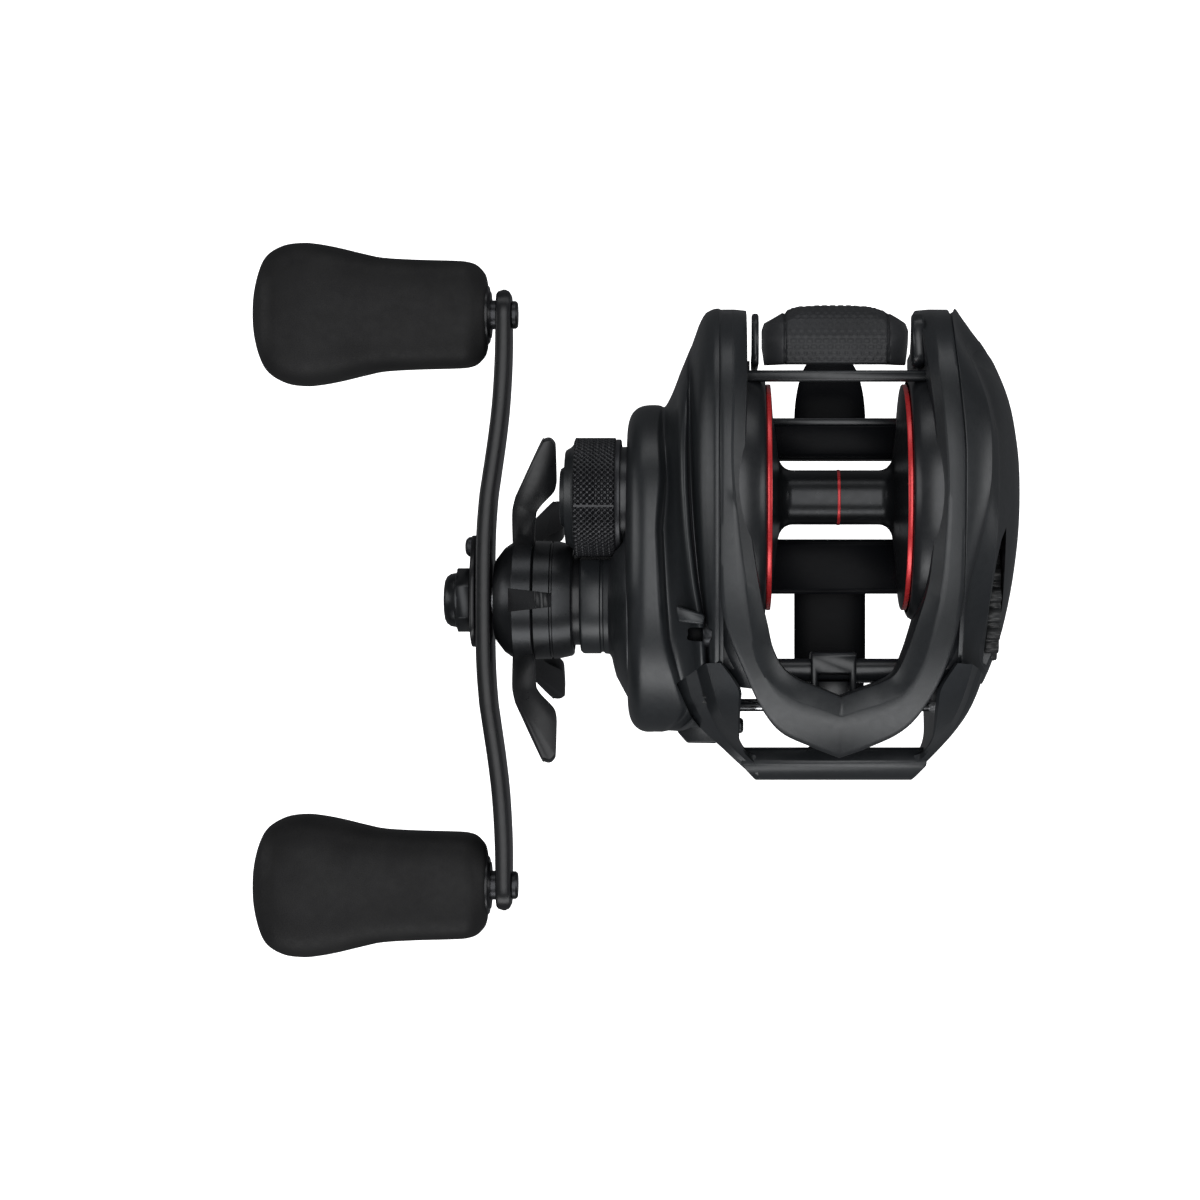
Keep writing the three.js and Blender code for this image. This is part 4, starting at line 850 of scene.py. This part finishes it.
def mirrored(points):
    return [(-x, r) for x, r in points[::-1]]


spool_profile = mirrored(ARBOR_HALF) + ARBOR_HALF[1:] + FLANGE_BACK + mirrored(FLANGE_BACK)
make("spool_body", ring_turned(spool_profile, SPOOL, 160), ANODISED, "spool", ["spool"],
     sharp=30)
for side, name in ((-1, "gear"), (1, "palm")):
    make("spool_rim_" + name, ring_turned([(side * x, r) for x, r in RIM], SPOOL, 160), RED, "spool",
         sharp=40)
arbor_line = [(0.18, 4.2), (0.18, 4.31), (0.24, 4.34), (0.56, 4.34), (0.62, 4.31), (0.62, 4.2)]
make("arbor_line", ring_turned(arbor_line, SPOOL), RED, "spool", sharp=40)

# ---- tension cap
def knurled(axis, x0, x1, radius, count, depth, smooth_at):
    """Band with a net of crossing ridges round square pits, closed rims and one smooth line along it."""
    around, along = count * 8, 64
    pitch = TAU * radius / count
    rows = []
    for i in range(along + 1):
        x = lerp(x0, x1, i / along)
        rim = 1 - min(1, min(i, along - i) / 2.0)
        row = []
        for k in range(around):
            a = TAU * k / around
            turn = a / TAU * count
            u, v = turn + (x - x0) / pitch, turn - (x - x0) / pitch
            pit = (1 - ease(0.16, 0.40, abs(u % 1 - 0.5))) * (1 - ease(0.16, 0.40, abs(v % 1 - 0.5)))
            near = abs((a - smooth_at + math.pi) % TAU - math.pi) * radius
            if near < 0.22 or rim > 0:
                pit = 0.0
            r = radius - depth * max(pit, rim)
            row.append((x, axis[0] + r * math.sin(a), axis[1] + r * math.cos(a)))
        rows.append(row)
    return grid(rows, wrap_columns=True, cap_start=True, cap_end=True)


make("tension_cap_grip", knurled(SPOOL, -40.65, -34.1, 9.29, 64, 0.42, math.radians(-10)), KNURL,
     "tension_cap", ["tension_cap"], sharp=50)
cap_end = [
    (-40.0, 8.5), (-40.7, 8.4), (-41.0, 8.0), (-41.3, 7.75), (-41.9, 7.4), (-42.05, 7.2), (-42.05, 5.2),
    (-42.2, 4.8), (-42.75, 4.5), (-42.9, 4.1), (-42.9, 1.4), (-42.5, 1.2),
]
make("tension_cap_end", solid_turned(cap_end, SPOOL), PAINT, "tension_cap", sharp=30)
make("tension_cap_collar", ring_turned([
    (-34.2, 8.3), (-34.2, 8.95), (-34.0, 9.05), (-33.5, 9.05), (-33.35, 8.9), (-33.35, 8.3)], SPOOL),
    KNURL, "tension_cap", sharp=40)

# ---- star drag
HUB = [(-53.45, 2.8), (-53.45, 6.0), (-53.2, 6.5), (-51.9, 8.2), (-50.9, 8.9), (-50.45, 9.1), (-50.4, 9.55),
       (-50.25, 9.7), (-47.45, 9.7), (-47.3, 9.55), (-47.25, 9.1), (-47.0, 9.35), (-44.6, 9.3), (-44.45, 9.0),
       (-44.2, 9.0), (-44.05, 9.3), (-43.1, 9.2), (-41.3, 8.8), (-41.0, 8.55), (-41.0, 7.7), (-45.6, 7.7),
       (-45.6, 2.8)]
SLEEVE = [(-44.2, 6.6), (-44.2, 7.1), (-39.8, 7.1), (-39.8, 6.6)]
make("star_hub", ring_turned(HUB, SHAFT), ANODISED, "star", ["star_drag"], sharp=25)
make("clutch_sleeve", ring_turned(SLEEVE, SHAFT, 64), BLACK, "root", sharp=30)


def star_arm(angle):
    """Swept blade: X against radius, thinner towards the body side."""
    face = spline([(-50.4, 8.6), (-50.4, 14.4), (-50.1, 16.4), (-46.0, 25.2), (-45.3, 26.0), (-44.4, 26.2),
                   (-43.7, 25.6), (-43.5, 24.6), (-43.45, 19.6), (-43.8, 18.0), (-46.1, 15.5), (-46.8, 13.6),
                   (-47.1, 8.6)], 4, closed=True, corners=(0, 2, 8, 12))
    rows = []
    for share in (-1, 1):
        row = []
        for x, r in face:
            side = share * lerp(1.85, 1.0, (x + 51) / 8)
            row.append((x, SHAFT[0] + r * math.sin(angle) + side * math.cos(angle),
                        SHAFT[1] + r * math.cos(angle) - side * math.sin(angle)))
        rows.append(row)
    return grid(rows, wrap_columns=True, cap_start=True, cap_end=True)


for k in range(STAR_ARMS):
    make("star_arm_" + "abcde"[k], star_arm(TAU * k / STAR_ARMS), BLACK, "star", bevel=0.25,
         segments=3, sharp=40)

# ---- handle
ARM_BEND = [
    (49.0, -53.2, -50.9), (45, -53.2, -50.9), (38, -53.3, -50.95), (31, -53.7, -51.35),
    (25.2, -54.35, -52.0), (19, -55.25, -52.9), (15.6, -55.7, -53.35), (9.4, -56.1, -53.75),
    (0, -56.2, -53.85),
]
ARM_HALF = [(0, 5.8), (8, 5.5), (18, 5.0), (33, 4.3), (45, 4.0)]


def handle_arm():
    """Bent bar with chamfered long edges and round ends."""
    along = ARM_BEND + [(-y, a, b) for y, a, b in ARM_BEND[-2::-1]]
    fine = spline(along, 6)
    rows = []
    for y, outer, inner in fine:
        beyond = max(0, abs(y) - ARM_REACH)
        half_z = table(ARM_HALF, abs(y))
        if beyond > 0:
            half_z = math.sqrt(max(0.02, 16 - min(15.98, beyond * beyond)))
        c = min(0.45, half_z * 0.4)
        tip = max(0.0, abs(y) - (ARM_REACH + 2.85))
        if tip > 0:
            trim = 1.15 * (1 - math.sqrt(max(0.0, 1 - (tip / 1.16) ** 2)))
            outer, inner = outer + min(trim, 0.98), inner - min(trim, 0.98)
        cy, cz = SHAFT[0] + y, SHAFT[1]
        row = [
            (outer, cy, cz - half_z + c), (outer, cy, cz + half_z - c),
            (outer + 0.12, cy, cz + half_z - c * 0.35), (outer + 0.45, cy, cz + half_z),
            (inner - 0.45, cy, cz + half_z), (inner - 0.12, cy, cz + half_z - c * 0.35),
            (inner, cy, cz + half_z - c), (inner, cy, cz - half_z + c),
            (inner - 0.12, cy, cz - half_z + c * 0.35), (inner - 0.45, cy, cz - half_z),
            (outer + 0.45, cy, cz - half_z), (outer + 0.12, cy, cz - half_z + c * 0.35),
        ]
        rows.append(row)
    return grid(rows, wrap_columns=True, cap_start=True, cap_end=True)


make("handle_bar", handle_arm(), BLACK, "crank", ["handle_arm"], sharp=40)
RETAINER = [(10.2, 0), (8.6, 2.2), (5.0, 4.9), (0, 5.6), (-5, 4.6), (-7.4, 0), (-5, -4.6), (0, -5.6),
            (5.0, -4.9), (8.6, -2.2)]
retainer = spline([(SHAFT[0] + y, SHAFT[1] + z) for y, z in RETAINER], 5, closed=True)
make("retainer_plate", prism_x(retainer, -57.15, -56.3), BLACK, "crank", ["nut_retainer"],
     bevel=0.2)
make("handle_nut_hex", prism_x(hexagon(*SHAFT, 5.1, 0.06), -59.45, -57.2), ANODISED, "crank",
     ["handle_nut"], bevel=0.2)
make("handle_nut_dome", solid_turned([
    (-59.2, 4.5), (-59.45, 4.5), (-59.6, 4.3), (-60.4, 4.15), (-61.0, 3.75), (-61.3, 3.2), (-61.4, 2.6),
    (-61.2, 2.2), (-61.2, 0.4)], SHAFT, 64), ANODISED, "crank", sharp=35)
screw_head = [(-57.0, 1.6), (-57.6, 1.55), (-58.0, 1.2), (-58.15, 0.8), (-57.8, 0.6), (-57.8, 0.05)]
make("retainer_screw_head", solid_turned(screw_head, (SHAFT[0] + 8.4, SHAFT[1]), 40), SCREW, "crank",
     ["retainer_screw"], sharp=30)

# ---- knobs
KNOB_OUTLINE = [
    (-54.75, 5.6), (-55.1, 6.6), (-56.2, 7.75), (-57.4, 8.2), (-59.5, 8.42), (-66, 8.6), (-71, 8.9),
    (-74, 9.5), (-78, 10.45), (-81, 11.0), (-83.5, 11.2), (-86.4, 10.8), (-88.9, 9.4), (-90.3, 7.2),
    (-91.2, 4.4), (-91.55, 1.6),
]


def knob(centre_y):
    """Paddle grip: a rounded flat face above and below."""
    rows = []
    count = 96
    for x, r in spline(KNOB_OUTLINE, 5):
        half_y = r
        half_z = min(0.78 * r, 5.4 + 0.26 * r)
        power = lerp(2.1, 2.9, ease(-55.5, -58, x) * (1 - ease(-89.5, -91.4, x)))
        row = []
        for k in range(count):
            a = TAU * k / count
            c, s = math.cos(a), math.sin(a)
            norm = (abs(c) ** power + abs(s) ** power) ** (-1 / power)
            row.append((x, centre_y + half_y * c * norm, SHAFT[1] + half_z * s * norm))
        rows.append(row)
    return grid(rows, wrap_columns=True, cap_start=True, cap_end=True)


COLLAR = [(-54.9, 4.6), (-54.5, 4.6), (-54.35, 4.4), (-54.35, 3.8), (-54.1, 3.65), (-54.05, 2.6)]
SPINDLE_END = [(-54.6, 2.3), (-53.1, 2.3), (-53.1, 1.9), (-51, 1.9), (-50.7, 2.2), (-50.2, 2.2), (-49.9, 1.9),
               (-49.9, 0.3)]
for name, y in (("front", SHAFT[0] - ARM_REACH), ("rear", SHAFT[0] + ARM_REACH)):
    axis = (y, SHAFT[1])
    make("knob_grip_" + name, knob(y), KNOB, "knob_" + name, ["knob_" + name], sharp=50)
    make("knob_collar_" + name, solid_turned(COLLAR, axis, 48), BLACK, "knob_" + name,
         ["knob_bushing_" + name], sharp=30)
    make("knob_spindle_end_" + name, solid_turned(SPINDLE_END, axis, 40), SCREW, "crank",
         ["knob_spindle_" + name], sharp=30)

# ---- levelwind
guard = [(-11.35, 1.45), (-11.35, 1.75), (-11.2, 1.9), (11.2, 1.9), (11.35, 1.75), (11.35, 1.45)]
make("levelwind_tube", ring_turned(guard, WORM, 48), PAINT_SHADED, "root", ["levelwind_guard"],
     sharp=40)
make("guide_bar", solid_turned([(-15.6, 0.85), (-15.4, 1), (16, 1), (16.2, 0.85)], GUIDE_ROD, 32),
     ROD_STEEL, "root", ["guide_rod"], sharp=40)


def carriage():
    """Outline of the block on the worm's tube and the guide rod, and what is cut out of it."""
    wy, wz = WORM
    outline = [(2.9, -2.6), (2.9, 2.9), (2.5, 3.3), (-4.4, 3.4), (-4.4, 5.6), (-6.6, 5.6), (-6.9, -3),
               (-7.6, -5), (-7.6, -8.4), (-3.6, -8.4), (-2.6, -5.6), (2.2, -5.6)]
    cuts = [solid_turned([(-10, 2.1), (10, 2.1)], WORM, 40),
            solid_turned([(-10, 1.15), (10, 1.15)], GUIDE_ROD, 32),
            round_box(-2.9, 2.0, wy - 9, wy - 0.4, wz + 1.5, wz + 9)]
    return prism_x([(wy + y, wz + z) for y, z in outline], -3.95, 3.05), cuts


block, block_cuts = carriage()
make("line_guide_carriage", block, PAINT_SHADED, "line_guide", ["line_guide"], bevel=0.3,
     cutters=block_cuts)

# ---- small screws
def socket_screw(name, x0, x1, axis, r, node):
    """Button head with a six-point socket. x1 is the outer face."""
    out = 1 if x1 > x0 else -1
    part = solid_turned([(x0, r), (x1 - out * 0.5, r), (x1 - out * 0.15, r * 0.92), (x1, r * 0.75),
                         (x1, 0.2)], axis, 40)
    make(name, part, SCREW, "root", [node], sharp=35,
         cutters=[prism_x(hexagon(*axis, r * 0.45), x1 - out * 0.9, x1 + out)])


socket_screw("cover_screw_head_rear", -20, -22.9, (25.5, 10.5), 2.1, "cover_screw_rear")
socket_screw("cover_screw_head_front", -18.4, -20.7, (-14, 35.2), 2.1, "cover_screw_front")
for name, y in (("front", -3.6), ("rear", 16.9)):
    lying, faces = solid_turned([(0, 2.1), (1.4, 2.1), (1.55, 1.9), (1.7, 0.2)], (0, 0), 40)
    upright = [(across, y + along, 1.9 - height) for height, across, along in lying]
    make("foot_screw_head_" + name, (upright, faces), SCREW, "root", ["foot_screw_" + name],
         sharp=35, cutters=[prism_z(circle(0, y, 1.0, 6), -1, 0.9)])

# ---- CAD pieces that stay
CARRIED = {
    STEEL: ["gear_plate", "drive_shaft", "pressure_plate", "roller_sleeve", "spool_shaft", "spool_pin",
            "yoke_post_upper", "yoke_post_lower"],
    BEARING: ["shaft_bearing", "roller_clutch", "pinion_bearing", "spool_bearing", "palm_bearing"],
    BRASS: ["drive_gear", "pinion", "star_nut", "tension_shim", "pawl"],
    SPRING: ["drag_spring_washer", "yoke_spring_upper", "yoke_spring_lower"],
    WASHER: ["drag_washer_inner", "drag_washer_outer"],
    PLASTIC: ["levelwind_drive_gear", "worm_gear", "yoke", "clutch_cam", "brake_housing"],
    MAGNET: ["magnet_ring"],
    ROD_STEEL: ["worm_shaft"],
}
for material, names in CARRIED.items():
    for name in names:
        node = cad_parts[name]
        node.data.materials.clear()
        node.data.materials.append(material)

# ---- floor, light and camera
FLOOR_Z = -62
FLOOR_HALF = 3000
LIT_POINT = Vector((0, 0, 0.02))


def light_area(name, place, size_x, size_y, watts):
    """Soft box that faces the reel. Places and sizes are in metres."""
    data = bpy.data.lights.new(name, "AREA")
    data.shape = "RECTANGLE"
    data.size, data.size_y = size_x, size_y
    data.energy = watts
    lamp = bpy.data.objects.new(name, data)
    bpy.context.scene.collection.objects.link(lamp)
    lamp.location = place
    lamp.rotation_euler = (LIT_POINT - Vector(place)).to_track_quat("-Z", "Y").to_euler()


floor_graph = Graph("pale_floor")
floor_graph.link(floor_graph.ramp(floor_graph.noise(8, 2), (0.90, 0.90, 0.90), (0.93, 0.93, 0.93)),
                 floor_graph.shader.inputs["Base Color"])
floor_graph.set(Roughness=0.9, Emission_Strength=0.95, Emission_Color=(1, 1, 1, 1))
floor_mesh = bpy.data.meshes.new("floor")
floor_plan = [(-FLOOR_HALF, -FLOOR_HALF), (FLOOR_HALF, -FLOOR_HALF), (FLOOR_HALF, FLOOR_HALF),
              (-FLOOR_HALF, FLOOR_HALF)]
floor_mesh.from_pydata([(x * MM, y * MM, FLOOR_Z * MM) for x, y in floor_plan], [], [(0, 1, 2, 3)])
floor_mesh.materials.append(floor_graph.material)
floor = bpy.data.objects.new("floor", floor_mesh)
bpy.context.scene.collection.objects.link(floor)
floor.visible_diffuse = False
floor.visible_glossy = False

light_area("overhead", (0.0, -0.02, 0.95), 0.5, 1.1, 4.8)
light_area("left_box", (-0.80, 0.10, 0.28), 0.35, 0.8, 1.8)
light_area("right_box", (0.80, 0.05, 0.28), 0.35, 0.8, 2.2)
light_area("rear_strip", (0.0, 0.75, 0.32), 0.9, 0.3, 1.3)
light_area("front_strip", (0.0, -0.78, 0.30), 0.9, 0.35, 3.6)
world = bpy.data.worlds.new("studio")
world.use_nodes = True
world.node_tree.nodes["Background"].inputs["Color"].default_value = (0.94, 0.96, 1.0, 1)
world.node_tree.nodes["Background"].inputs["Strength"].default_value = 0.12
bpy.context.scene.world = world
bpy.context.scene.view_settings.view_transform = "Standard"

CAMERA_AT = (-18.8, -9, 450)
camera_data = bpy.data.cameras.new("camera")
camera_data.lens = 82.2
camera_data.sensor_width = 36
camera_data.shift_x = -0.0958
camera_data.clip_start = 0.01
camera = bpy.data.objects.new("camera", camera_data)
camera.location = [at * MM for at in CAMERA_AT]
bpy.context.scene.collection.objects.link(camera)
bpy.context.scene.camera = camera
